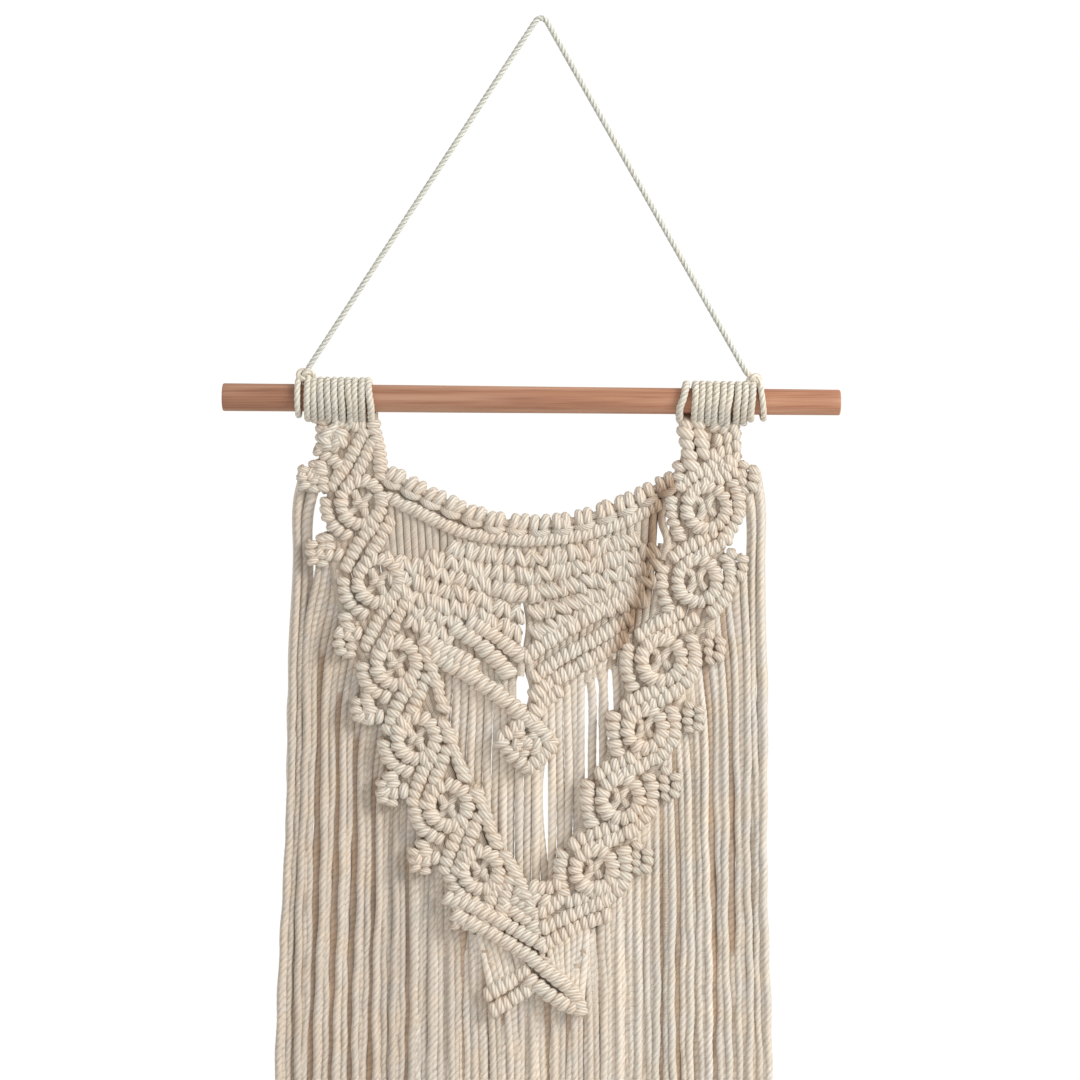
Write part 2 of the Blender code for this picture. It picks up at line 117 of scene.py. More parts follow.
def makeCotton(name, own):
    material, tree, shader = newMaterial(name)
    add = partial(addNode, tree)
    section, way, spin, tone, shade, lie = [
        add("ShaderNodeAttribute", attribute_name=label).outputs
        for label in ("section", "way", "spin", "tone", "shade", "lie")]
    # the plies wind round the cord: the section turns with them
    wound = add("ShaderNodeVectorRotate", {"Vector": section["Vector"], "Angle": spin["Fac"]},
                rotation_type="Z_AXIS")
    across, up = add("ShaderNodeSeparateXYZ", {0: wound}).outputs[:2]
    # fibres run along the ply; real ones are finer than the eye can part at this distance, so they
    # are drawn about six times as wide
    fibresAcross = own["halfMm"] / own["fibreMm"]
    cordOffset = add("ShaderNodeMath", {0: tone["Fac"], 1: 97.0}, operation="MULTIPLY")
    lengthwise = add("ShaderNodeMath", {
        0: way["Fac"], 1: 1.0 / (own["fibreLengthMm"] * mm), 2: cordOffset}, operation="MULTIPLY_ADD")
    lengthPlace = add("ShaderNodeCombineXYZ", {"Z": lengthwise})
    fibrePlace = add("ShaderNodeVectorMath", {
        0: wound, 1: (fibresAcross, fibresAcross, 0.0), 2: lengthPlace}, operation="MULTIPLY_ADD")
    fibre = add("ShaderNodeTexNoise", {"Scale": 1.0, "Detail": 3.0, "Roughness": 0.7,
                                       "Vector": fibrePlace}).outputs["Fac"]
    angle = add("ShaderNodeMath", {0: up, 1: across}, operation="ARCTAN2")
    waver = add("ShaderNodeMath", {0: fibre, 1: own["waver"]}, operation="MULTIPLY")
    manyfold = add("ShaderNodeMath", {0: angle, 1: own["ridges"], 2: waver}, operation="MULTIPLY_ADD")
    wave = add("ShaderNodeMath", {0: manyfold}, operation="COSINE")
    ply = add("ShaderNodeMapRange", {"Value": wave, "From Min": -1.0, "From Max": 0.2},
              interpolation_type="SMOOTHSTEP")
    place = add("ShaderNodeTexCoord").outputs["Object"]
    blotch = add("ShaderNodeTexNoise", {
        "Scale": 1.0 / (own["blotchMm"] * mm), "Detail": 2.0, "Vector": place}).outputs["Fac"]
    blotchShare = add("ShaderNodeMapRange", {"Value": blotch, "From Min": 0.35, "From Max": 0.65})
    tint = add("ShaderNodeMix", {0: blotchShare, 6: linear(own["warm"]), 7: linear(own["cool"])},
               data_type="RGBA")
    # painted shade: the colour darkens from the ridges of the plies into the grooves between them
    colour = add("ShaderNodeMix", {0: ply, 6: linear(own["groove"]), 7: linear(own["ridge"])},
                 data_type="RGBA")
    # painted shade at the sides and the tucked ends of each turn, from where each point lies
    press = [
        add("ShaderNodeMapRange", {
            "Value": add("ShaderNodeMath", {0: part}, operation="ABSOLUTE"),
            "From Min": start, "From Max": full, "To Max": most}, interpolation_type="SMOOTHSTEP")
        for part, (start, full, most) in zip(
            add("ShaderNodeSeparateXYZ", {0: lie["Vector"]}).outputs, own["pressed"])]
    pressed = add("ShaderNodeMath", {0: press[0], 1: press[1]}, operation="MAXIMUM")
    # the colour blotches, then painted shade at the sides and ends of a turn, then painted shade on cords
    # marked as lying in shade
    for share, darker in ((1.0, tint.outputs[2]), (pressed, linear(own["creaseShade"])),
                          (shade["Fac"], linear(own["deep"]))):
        colour = add("ShaderNodeMix", {0: share, 6: colour.outputs[2], 7: darker},
                     data_type="RGBA", blend_type="MULTIPLY")
    fibreLevel = add("ShaderNodeMapRange", {
        "Value": fibre, "From Min": 0.3, "From Max": 0.7, "To Min": own["dull"], "To Max": own["bright"]})
    toneLevel = add("ShaderNodeMapRange", {
        "Value": tone["Fac"], "To Min": own["toneLow"], "To Max": 1.04})
    level = add("ShaderNodeMath", {0: fibreLevel, 1: toneLevel}, operation="MULTIPLY")
    final = add("ShaderNodeVectorMath", {0: colour.outputs[2], "Scale": level}, operation="SCALE")
    plyBump = add("ShaderNodeBump", {"Distance": own["plyHeightMm"] * mm, "Height": ply})
    fibreBump = add("ShaderNodeBump", {
        "Distance": own["fibreHeightMm"] * mm, "Height": fibre, "Normal": plyBump})
    tree.links.new(final.outputs[0], shader.inputs["Base Color"])
    tree.links.new(fibreBump.outputs[0], shader.inputs["Normal"])
    for label, value in {"Roughness": 0.95, "Specular IOR Level": 0.2, "Sheen Weight": own["sheen"],
                         "Sheen Roughness": 0.6, "Sheen Tint": linear("F6F0E8")}.items():
        shader.inputs[label].default_value = value
    return material


cottonCord = makeCotton("twistedCottonCord", rodCotton)
hangingCotton = makeCotton("paleCottonCord", paleCotton)
cottonKnot = makeCotton("knottedCottonCord", knottedCotton)
cottonStrand = makeCotton("looseCottonStrand", looseCotton)

# plain turned hardwood, sanded and unvarnished: fine lengthwise grain, a dull satin
wood = {"base": "AE7C60", "dark": "8D5E47", "light": "C69A7F", "grainMm": 0.9, "grainLengthMm": 55.0,
        "figureMm": 6.0, "figureLengthMm": 120.0, "reliefMm": 0.08, "leftLevel": 0.9, "rightLevel": 1.28}


def makeWood():
    material, tree, shader = newMaterial("sandedHardwood")
    add = partial(addNode, tree)
    place = add("ShaderNodeTexCoord").outputs["Object"]
    stretch, wideStretch = [
        add("ShaderNodeMapping", {"Scale": (1.0 / length, 1.0 / width, 1.0 / width), "Vector": place})
        for length, width in ((wood["grainLengthMm"], wood["grainMm"]),
                              (wood["figureLengthMm"], wood["figureMm"]))]
    grain = add("ShaderNodeTexNoise", {"Scale": 1.0 / mm, "Detail": 4.0, "Roughness": 0.62,
                                       "Distortion": 0.4, "Vector": stretch}).outputs["Fac"]
    wide = add("ShaderNodeTexNoise", {"Scale": 1.0 / mm, "Detail": 2.0, "Vector": wideStretch})
    ramp = add("ShaderNodeValToRGB", {"Fac": grain})
    for stop, at, colour in zip(ramp.color_ramp.elements, (0.3, 0.62), (wood["dark"], wood["base"])):
        stop.position = at
        stop.color = linear(colour)
    share = add("ShaderNodeMapRange", {"Value": wide.outputs["Fac"], "From Min": 0.42,
                                       "From Max": 0.68, "To Max": 0.75})
    lighter = add("ShaderNodeMix", {0: share, 6: ramp, 7: linear(wood["light"])}, data_type="RGBA")
    # the stick is darker at its left end and grows paler towards its right end
    end = add("ShaderNodeSeparateXYZ", {0: place})
    paling = add("ShaderNodeMapRange", {
        "Value": end, "From Min": -0.16, "From Max": 0.19, "To Min": wood["leftLevel"], "To Max": wood["rightLevel"]},
        interpolation_type="SMOOTHSTEP")
    paled = add("ShaderNodeVectorMath", {0: lighter.outputs[2], "Scale": paling}, operation="SCALE")
    rough = add("ShaderNodeMapRange", {"Value": grain, "To Min": 0.5, "To Max": 0.68})
    bump = add("ShaderNodeBump", {"Strength": 0.5, "Distance": wood["reliefMm"] * mm, "Height": grain})
    for result, label in ((paled, "Base Color"), (rough, "Roughness"), (bump, "Normal")):
        tree.links.new(result.outputs[0], shader.inputs[label])
    return material


sandedHardwood = makeWood()
print("finishes made")


def newTree(name, inputs):
    tree = bpy.data.node_groups.new(name, "GeometryNodeTree")
    for label, kind in {"Geometry": "Geometry", **inputs}.items():
        tree.interface.new_socket(label, in_out="INPUT", socket_type="NodeSocket" + kind)
    tree.interface.new_socket("Geometry", in_out="OUTPUT", socket_type="NodeSocketGeometry")
    return tree, partial(addNode, tree), tree.nodes.new("NodeGroupInput").outputs


def closeTree(tree, add, shape, finish):
    real = add("GeometryNodeRealizeInstances", {"Geometry": shape})
    finished = add("GeometryNodeSetMaterial", {"Geometry": real, "Material": finish})
    add("NodeGroupOutput", {0: finished})
    return tree


def makeCordTree():
    # a cord of three plies laid together along every curve it is given
    tree, add, own = newTree("twistedCord", {
        "Radius": "Float", "Lay": "Float", "Step": "Float", "Groove": "Float", "Carved": "Float",
        "Shade": "Float", "Points": "Int", "Seed": "Int", "Finish": "Material"})
    spaced = add("GeometryNodeResampleCurve", {"Curve": own["Geometry"], "Length": own["Step"]},
                 mode="LENGTH")
    along = add("GeometryNodeSplineParameter").outputs["Length"]
    which = add("GeometryNodeCurveOfPoint").outputs["Curve Index"]
    chance = add("FunctionNodeRandomValue", {"ID": which, "Seed": own["Seed"]},
                 data_type="FLOAT").outputs[1]
    winding = along
    for operation, value in (("DIVIDE", own["Lay"]), ("ADD", chance), ("MULTIPLY", math.tau)):
        winding = add("ShaderNodeMath", {0: winding, 1: value}, operation=operation)
    tilt = add("ShaderNodeMath", {0: winding, 1: own["Carved"]}, operation="MULTIPLY")
    spin = add("ShaderNodeMath", {0: tilt, 1: winding}, operation="SUBTRACT")
    line = add("GeometryNodeSetCurveTilt", {"Curve": spaced, "Tilt": tilt})
    for label, value in (("spin", spin), ("tone", chance), ("shade", own["Shade"]), ("way", along)):
        line = add("GeometryNodeStoreNamedAttribute", {"Geometry": line, "Name": label, "Value": value},
                   data_type="FLOAT", domain="POINT")
    # the section is drawn in between its three plies
    ring = add("GeometryNodeCurvePrimitiveCircle", {"Resolution": own["Points"], "Radius": 1.0})
    part = add("ShaderNodeMath", {0: add("GeometryNodeInputIndex"), 1: own["Points"]}, operation="DIVIDE")
    angle = add("ShaderNodeMath", {0: part, 1: 3.0 * math.tau}, operation="MULTIPLY")
    wave = add("ShaderNodeMath", {0: angle}, operation="COSINE")
    height = add("ShaderNodeMapRange", {"Value": wave, "From Min": -1.0, "From Max": 1.0})
    low = add("ShaderNodeMath", {0: 1.0, 1: own["Groove"]}, operation="SUBTRACT")
    reach = add("ShaderNodeMapRange", {"Value": height, "To Min": low, "To Max": 1.0})
    size = add("ShaderNodeMath", {0: reach, 1: own["Radius"]}, operation="MULTIPLY")
    spot = add("GeometryNodeInputPosition")
    moved = add("ShaderNodeVectorMath", {0: spot, "Scale": size}, operation="SCALE")
    plied = add("GeometryNodeStoreNamedAttribute", {"Geometry": ring, "Name": "section", "Value": spot},
                data_type="FLOAT_VECTOR", domain="POINT")
    profile = add("GeometryNodeSetPosition", {"Geometry": plied, "Position": moved})
    swept = add("GeometryNodeCurveToMesh", {"Curve": line, "Profile Curve": profile, "Fill Caps": True})
    smooth = add("GeometryNodeSetShadeSmooth", {"Geometry": swept})
    return closeTree(tree, add, smooth, own["Finish"])


def makeKnotTree():
    # knots set side by side along every row, each turned to its row and a little uneven
    tree, add, own = newTree("knotRow", {
        "Knot": "Object", "Pitch": "Float", "Size": "Float", "Length": "Float", "Lean": "Float",
        "Unevenness": "Float", "Seed": "Int", "Finish": "Material"})
    seeds = [own["Seed"]] + [add("ShaderNodeMath", {0: own["Seed"], 1: more}, operation="ADD")
                             for more in (1.0, 2.0)]
    spaced = add("GeometryNodeResampleCurve", {"Curve": own["Geometry"], "Length": own["Pitch"]},
                 mode="LENGTH")
    kept = add("GeometryNodeCaptureAttribute", {"Geometry": spaced}, domain="POINT")
    kept.capture_items.new("VECTOR", "Way")
    tree.links.new(add("GeometryNodeInputTangent").outputs[0], kept.inputs["Way"])
    points = add("GeometryNodeCurveToPoints", {"Curve": kept}, mode="EVALUATED")
    turned = add("FunctionNodeAlignRotationToVector", {"Vector": kept.outputs["Way"]}, axis="X",
                 pivot_axis="Y")
    chanceLean = add("FunctionNodeRandomValue", {
        0: (-0.12, -0.16, -0.1), 1: (0.12, 0.16, 0.1), "Seed": seeds[0]}, data_type="FLOAT_VECTOR")
    scaledLean = add("ShaderNodeVectorMath", {0: chanceLean, "Scale": own["Unevenness"]},
                     operation="SCALE")
    ownLean = add("ShaderNodeCombineXYZ", {"Y": own["Lean"]})
    leaning = add("ShaderNodeVectorMath", {0: scaledLean, 1: ownLean}, operation="ADD")
    wobble = add("FunctionNodeRotateRotation", {"Rotation": turned, "Rotate By": leaning},
                 rotation_space="LOCAL")
    scatter = add("FunctionNodeRandomValue", {2: 0.93, 3: 1.07, "Seed": seeds[1]}, data_type="FLOAT")
    grown = add("ShaderNodeMath", {0: scatter.outputs[1], 1: own["Size"]}, operation="MULTIPLY")
    longer = add("ShaderNodeMath", {0: grown, 1: own["Length"]}, operation="MULTIPLY")
    shape = add("ShaderNodeCombineXYZ", {0: grown, 1: grown, 2: longer})
    knot = add("GeometryNodeObjectInfo", {"Object": own["Knot"]}, transform_space="ORIGINAL")
    placed = add("GeometryNodeInstanceOnPoints", {
        "Points": points, "Instance": knot.outputs["Geometry"], "Rotation": wobble, "Scale": shape})
    push = add("FunctionNodeRandomValue", {
        0: (-0.0003, -0.0005, -0.0003), 1: (0.0003, 0.0004, 0.0003), "Seed": seeds[0]},
        data_type="FLOAT_VECTOR")
    nudge = add("GeometryNodeTranslateInstances", {"Instances": placed, "Translation": push,
                                                   "Local Space": True})
    chance = add("FunctionNodeRandomValue", {"Seed": seeds[2]}, data_type="FLOAT").outputs[1]
    toned = add("GeometryNodeStoreNamedAttribute", {"Geometry": nudge, "Name": "tone", "Value": chance},
                data_type="FLOAT", domain="INSTANCE")
    return closeTree(tree, add, toned, own["Finish"])


cordTree = makeCordTree()
knotTree = makeKnotTree()


def curveObject(name, paths, closed=False, smooth=True):
    curve = bpy.data.curves.new(name, "CURVE")
    curve.dimensions = "3D"
    curve.resolution_u = 8
    for path in paths:
        if smooth and len(path) > 2:
            spline = curve.splines.new("BEZIER")
            spline.bezier_points.add(len(path) - 1)
            for target, point in zip(spline.bezier_points, path):
                target.co = Vector(point) * mm
                target.handle_left_type = target.handle_right_type = "AUTO"
        else:
            spline = curve.splines.new("POLY")
            spline.points.add(len(path) - 1)
            for target, point in zip(spline.points, path):
                target.co = (*(Vector(point) * mm), 1.0)
        spline.use_cyclic_u = closed
    return addObject(name, curve)


def grow(name, source, tree, settings):
    # runs a tree on a curve object and keeps the result as a plain mesh
    modifier = source.modifiers.new("tree", "NODES")
    modifier.node_group = tree
    for item in tree.interface.items_tree:
        if item.item_type == "SOCKET" and item.in_out == "INPUT" and item.name in settings:
            modifier[item.identifier] = settings[item.name]
    bpy.context.view_layer.update()
    evaluated = source.evaluated_get(bpy.context.evaluated_depsgraph_get())
    mesh = bpy.data.meshes.new_from_object(evaluated)
    source.modifiers.remove(modifier)
    bpy.data.objects.remove(source, do_unlink=True)
    mesh.name = name
    return addObject(name, mesh)


def roundAngles(count):
    return [math.tau * step / count for step in range(count)]


cord = {"layMm": 12.0, "stepMm": 1.7, "points": 6}


def twist(name, paths, radius, closed=False, lay=cord["layMm"], step=cord["stepMm"],
          points=cord["points"], seed=1, shade=0.0, carved=0.0, finish=cottonKnot, smooth=True):
    # a carved cord has its grooves in its shape; on the others they are drawn
    return grow(name, curveObject(name, paths, closed, smooth), cordTree, {
        "Radius": radius * mm, "Lay": lay * mm, "Step": step * mm, "Groove": carved,
        "Carved": 1.0 if carved else 0.0, "Shade": shade, "Points": points, "Seed": seed,
        "Finish": finish})


def shadeAlong(item, line, width, most):
    # paints brown shade on what lies within a width of a line, most on the line itself
    for vertex, entry in zip(item.data.vertices, item.data.attributes["shade"].data):
        spot = Vector((vertex.co.x / mm, vertex.co.z / mm))
        nearest = width
        for first, second in zip(line, line[1:]):
            start, way = Vector(first), Vector(second) - Vector(first)
            share = min(1.0, max(0.0, (spot - start).dot(way) / way.length_squared))
            nearest = min(nearest, (spot - start - way * share).length)
        part = 1.0 - nearest / width
        entry.value = min(1.0, entry.value + most * part * part * (3.0 - 2.0 * part))


def joinAll(name, objects, finish):
    whole = bmesh.new()
    mesh = bpy.data.meshes.new(name)
    for item in objects:
        whole.from_mesh(item.data)
    whole.to_mesh(mesh)
    whole.free()
    for item in objects:
        bpy.data.objects.remove(item, do_unlink=True)
    mesh.materials.append(finish)
    mesh.shade_smooth()
    return addObject(name, mesh)


def settle(piece, slot, *nodes):
    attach(piece, "root")
    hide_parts(*nodes)


# the hanging cord: taut from its two knots to the nail, and over it in a small arc
hanger = {"radiusMm": 1.7, "bendMm": 3.5, "layMm": 9.5, "stepMm": 1.3, "groove": 0.14, "clearMm": 0.3,
          # the round of each knot that the cord stops at: its middle and its radius
          "left": (-129.4, -2.3, -195.0, 3.2), "right": (113.6, -1.5, -196.5, 2.3)}


def hangerRoute():
    top = Vector((0.0, 0.0, 0.0))
    ends = []
    for x, y, z, size in (hanger["left"], hanger["right"]):
        lobe = Vector((x, y, z))
        ends.append(lobe + (top - lobe).normalized() * (size + hanger["clearMm"]))
    left, right = ends
    first = math.atan2(-left.x, -left.z) - math.pi / 2
    last = math.pi / 2 - math.atan2(right.x, -right.z)
    middle = Vector((0.0, 0.0, -hanger["bendMm"]))
    arc = []
    for step in range(13):
        angle = first + (last - first) * step / 12
        arc.append(middle + hanger["bendMm"] * Vector((math.sin(angle), 0.0, math.cos(angle))))
    legs = []
    for end, stop in ((left, arc[0]), (right, arc[-1])):
        steps = max(2, round((stop - end).length / hanger["stepMm"]))
        legs.append([end.lerp(stop, step / steps) for step in range(steps)])
    return legs[0] + arc + legs[1][::-1]


route = hangerRoute()
hangerCord = twist("hangerCordTwisted", [route], hanger["radiusMm"], points=12, step=hanger["stepMm"],
                   seed=4, carved=hanger["groove"], lay=hanger["layMm"], finish=hangingCotton, smooth=False)
settle(hangerCord, "cotton_cord", "hanger_cord")

rod = {"left": (-175.0, 0.0, -208.5), "right": (164.5, 0.0, -211.5), "radiusLeft": 7.7,
       "radiusRight": 7.1, "sides": 72, "rings": 60, "unevenMm": 0.06,
       # the eased edge of an end: how far in, how much thinner
       "edge": ((0.0, -1.0), (0.15, -0.45), (0.5, -0.12), (1.0, 0.0))}


def rodRadius(share):
    return rod["radiusLeft"] + (rod["radiusRight"] - rod["radiusLeft"]) * share


def makeRod():
    left, right = Vector(rod["left"]), Vector(rod["right"])
    length = (right - left).length
    turnTo = (right - left).to_track_quat("Z", "Y").to_matrix()
    stations = [(at, rod["radiusLeft"] + cut) for at, cut in rod["edge"]]
    for step in range(1, rod["rings"]):
        stations.append((length * (step / rod["rings"]), rodRadius(step / rod["rings"])))
    stations += [(length - at, rod["radiusRight"] + cut) for at, cut in reversed(rod["edge"])]
    work = bmesh.new()
    rings = []
    for at, radius in stations:
        ring = []
        for angle in roundAngles(rod["sides"]):
            # hand-sanded: never quite round
            waver = math.sin(2 * angle + at * 0.012) * math.cos(at * 0.021 + 1.0)
            own = radius - rod["unevenMm"] + rod["unevenMm"] * waver
            point = left + turnTo @ Vector((own * math.cos(angle), own * math.sin(angle), at))
            ring.append(work.verts.new(point * mm))
        rings.append(ring)
    for first, second in zip(rings, rings[1:]):
        for side in range(rod["sides"]):
            after = (side + 1) % rod["sides"]
            work.faces.new((first[side], first[after], second[after], second[side]))
    for ring, centre in ((rings[0], left), (rings[-1], right)):
        hub = work.verts.new(centre * mm)
        for side in range(rod["sides"]):
            work.faces.new((ring[side], ring[(side + 1) % rod["sides"]], hub))
    bmesh.ops.recalc_face_normals(work, faces=work.faces)
    mesh = bpy.data.meshes.new("rodSanded")
    work.to_mesh(mesh)
    work.free()
    mesh.shade_smooth()
    mesh.set_sharp_from_angle(angle=math.radians(42))
    mesh.materials.append(sandedHardwood)
    return addObject("rodSanded", mesh)


settle(makeRod(), "rod_wood", "rod")
print("rod turned")

# the lark's heads, two turns over the rod each
heads = {
    "radiusMm": 2.12, "liftMm": 0.1, "layMm": 9.5, "groove": 0.09, "sweep": 115.0,
    # each turn: across at the top, across at the foot, how low its foot reaches
    "left": ((-127.7, -128, -220.5), (-124.6, -124.4, -221.5), (-121, -120.4, -221),
        (-117.3, -116.5, -222), (-113.4, -112.8, -226.5), (-109.7, -108.9, -223), (-106, -104.5, -225),
        (-102.3, -101.8, -222.5), (-98.2, -98, -222.5), (-94.9, -93.2, -221.5)),
    "right": ((79.9, 76, -221), (85, 84.2, -222.5), (88.6, 87.6, -222.5), (92.3, 91.6, -223),
        (96.5, 95, -224), (100.4, 99.2, -223), (104.3, 102, -225), (108.4, 107.2, -223),
        (112.3, 111.2, -223), (116.3, 115, -220.5)),
}


def rodCentre(x):
    # the height of the rod's middle, and its radius, at x
    share = (x - rod["left"][0]) / (rod["right"][0] - rod["left"][0])
    return rod["left"][2] + (rod["right"][2] - rod["left"][2]) * share, rodRadius(share)


def turnOverRod(top, foot, low):
    # up behind the rod, over it and down its front to the knotting
    height, stick = rodCentre(top)
    reach = stick + heads["liftMm"] + heads["radiusMm"]
    path = [(foot + 0.4, 1.6, low), (foot + 0.3, reach * 0.75, height - reach * 0.78)]
    for step in range(9):
        angle = math.radians(heads["sweep"] - 2.0 * heads["sweep"] * step / 8)
        x = top + (foot - top) * (step / 4 - 1.0) ** 2
        path.append((x, reach * math.sin(angle), height + reach * math.cos(angle)))
    return path + [(foot, -reach * 0.5, height - reach * 0.98), (foot, -1.4, low)]


sides = ("left", "right")
headTurns = twist("larkHeadTurns", [turnOverRod(*turn) for side in sides for turn in heads[side]],
                  heads["radiusMm"], points=12, step=1.0, seed=7, carved=heads["groove"],
                  lay=heads["layMm"], finish=cottonCord)
settle(headTurns, "cotton_cord", *[f"lark_head_{side}_{number}" for side in sides
                                   for number in range(1, 6)])
print("lark's heads tied")

# the hanging cord's knots: a loop round the rod and an overhand knot in front of it
knots = {"radiusMm": 1.75, "liftMm": 0.3, "groove": 0.1,
         # the middle, size and turn of the overhand knot, then where the loop crosses and its lean
         "left": ((-129.2, -2.4, -197.6), 4.2, 0.4, -133.3, 0.0),
         "right": ((117.4, -2.2, -200.2), 3.4, 1.1, 120.3, 2.0)}


def rodLoop(x, lean):
    height, stick = rodCentre(x)
    reach = stick + knots["liftMm"] + knots["radiusMm"]
    return [(x + lean * (1.0 - math.cos(angle)) / 2, -math.sin(angle) * reach,
             height + math.cos(angle) * reach) for angle in roundAngles(14)]


def overhand(centre, size, turn):
    # the round of an overhand knot: a small trefoil of cord
    path = []
    for angle in roundAngles(18):
        wide = size * (0.62 + 0.38 * math.cos(3 * angle))
        x = wide * math.cos(2 * angle + turn)
        z = wide * math.sin(2 * angle + turn)
        y = -size * 0.42 * math.sin(3 * angle)
        path.append((centre[0] + x, centre[1] + y, centre[2] + z))
    return path


tie = partial(twist, points=12, step=1.0, carved=knots["groove"])
for side, cordEnd in zip(sides, (route[0], route[-1])):
    centre, size, turn, x, lean = knots[side]
    # the hanging cord runs on into its knot
    away = (cordEnd - Vector(centre)).normalized()
    neck = tie("neck", [[cordEnd + away * 0.2, cordEnd.lerp(Vector(centre), 0.5), Vector(centre)]],
               hanger["radiusMm"], seed=13, lay=hanger["layMm"])
    loops = tie("loop", [rodLoop(x, lean)], knots["radiusMm"], closed=True, seed=11)
    core = tie("core", [overhand(centre, size, turn)], knots["radiusMm"], closed=True, seed=12)
    settle(joinAll(f"hangerKnot{side.title()}", [loops, core, neck], cottonCord), "cotton_cord",
           f"hanger_knot_{side}")
print("hanger knots tied")

# one hitch, which every row of knots repeats, and the cord that a row is held on
hitch = {"pitchMm": 4.1, "deepMm": 1.7, "highMm": 2.0, "radiusMm": 2.75, "drift": 0.6, "steps": 12,
         "reachMm": 4.75, "stepMm": 1.55, "layMm": 26.0, "heldMm": 2.7, "heldStepMm": 2.4,
         # degrees each way round; past the second of them the ends tuck in by this share
         "sweep": 205.0, "tuckFrom": 150.0, "tuck": 0.45}


def hitchPath():
    # once round the holding cord and a little more; both ends tuck in behind
    path = []
    for step in range(hitch["steps"] + 1):
        angle = math.radians(-hitch["sweep"] + 2.0 * hitch["sweep"] * step / hitch["steps"])
        past = max(0.0, abs(math.degrees(angle)) - hitch["tuckFrom"])
        tuck = 1.0 - hitch["tuck"] * past / (hitch["sweep"] - hitch["tuckFrom"])
        path.append((hitch["drift"] * hitch["pitchMm"] * angle / math.tau,
                     -hitch["deepMm"] * tuck * math.cos(angle), hitch["highMm"] * tuck * math.sin(angle)))
    return path


hitchKnot = twist("hitchKnot", [hitchPath()], hitch["radiusMm"], step=hitch["stepMm"], points=9,
                  lay=hitch["layMm"], seed=3)


def markLie(item):
    # how far each point lies to the side, up and to the front: painted shade gathers at the sides and ends
    store = item.data.attributes.new("lie", "FLOAT_VECTOR", "POINT")
    for vertex, entry in zip(item.data.vertices, store.data):
        x, y, z = vertex.co / mm
        angle = math.atan2(z / hitch["highMm"], -y / hitch["deepMm"])
        middle = hitch["drift"] * hitch["pitchMm"] * angle / math.tau
        entry.vector = ((x - middle) / hitch["radiusMm"], z / hitch["reachMm"], -y / hitch["reachMm"])


markLie(hitchKnot)


def knotRows(name, rows, closed=False, size=1.0, seed=5, pitch=1.0, uneven=1.0, held=True, lean=0.0,
             length=1.0):
    # the hitches of every row, and the holding cord that runs through each row
    made = [grow(name, curveObject(name, rows, closed), knotTree, {
        "Knot": hitchKnot, "Pitch": hitch["pitchMm"] * size * pitch * mm, "Size": size,
        "Length": length, "Lean": math.radians(lean), "Unevenness": uneven, "Seed": seed,
        "Finish": cottonKnot})]
    if held:
        made.append(twist(name + "Held", rows, hitch["heldMm"] * size, closed=closed,
                          step=hitch["heldStepMm"], seed=seed, shade=0.1))
    return made


def atDepth(rows, depth=0.0):
    return [[(x, depth, z) for x, z in row] for row in rows]


def turned(points, place, depth=0.0):
    # a motif's own points, set in their place
    x, z, degrees, size = place
    cosine, sine = math.cos(math.radians(degrees)), math.sin(math.radians(degrees))
    return [(x + size * (a * cosine - b * sine), depth, z + size * (a * sine + b * cosine))
            for a, b in points]


def ringPoints(shape):
    x, z, wide, high = shape
    return [(x + wide * math.sin(angle), z + high * math.cos(angle)) for angle in roundAngles(12)]


# what both bands share, and how each kind of knot lies; leans are in degrees
band = {
    "finerMotifs": 2, "finer": 0.92, "ringDepthMm": -1.2, "slantDepthMm": -0.3, "centreDepthMm": -2.0,
    "rings": {"closed": True, "pitch": 1.12, "uneven": 1.5}, "rows": {"uneven": 1.5},
    "picots": {"size": 0.8, "pitch": 1.14, "uneven": 2.2}, "slanted": {"lean": 32.0, "uneven": 2.0},
    "ball": {"closed": True, "size": 1.05, "lean": 32.0}, "ballTop": {"size": 1.05},
    "centres": {"size": 0.66, "lean": 20.0, "uneven": 2.0, "held": False},
    "eyes": {"radius": 2.3, "lay": 26.0, "points": 8}, "cords": {"radius": 2.75, "shade": 0.3},
    # a picot's outer and inner row: its depth, then its points, away from the band and up
    "picotRows": ((-0.8, ((3.6, -0.5), (3.9, -5.0), (2.6, -9.5))),
                  (-0.2, ((-2.0, 2.5), (-2.6, -2.0), (-2.6, -6.5), (-2.0, -11.0)))),
    # a short row across a ball
    "ballRow": ((-3.2, -2.4, 2.2), (3.0, -2.4, -2.4)),
    # the working cords behind the rows
    "cordCount": 9, "cordDepthMm": 1.9, "cordStirMm": 0.5, "swingMm": 1.0, "waveMm": 17.0,
    "shadeWidthMm": 4.0,
}
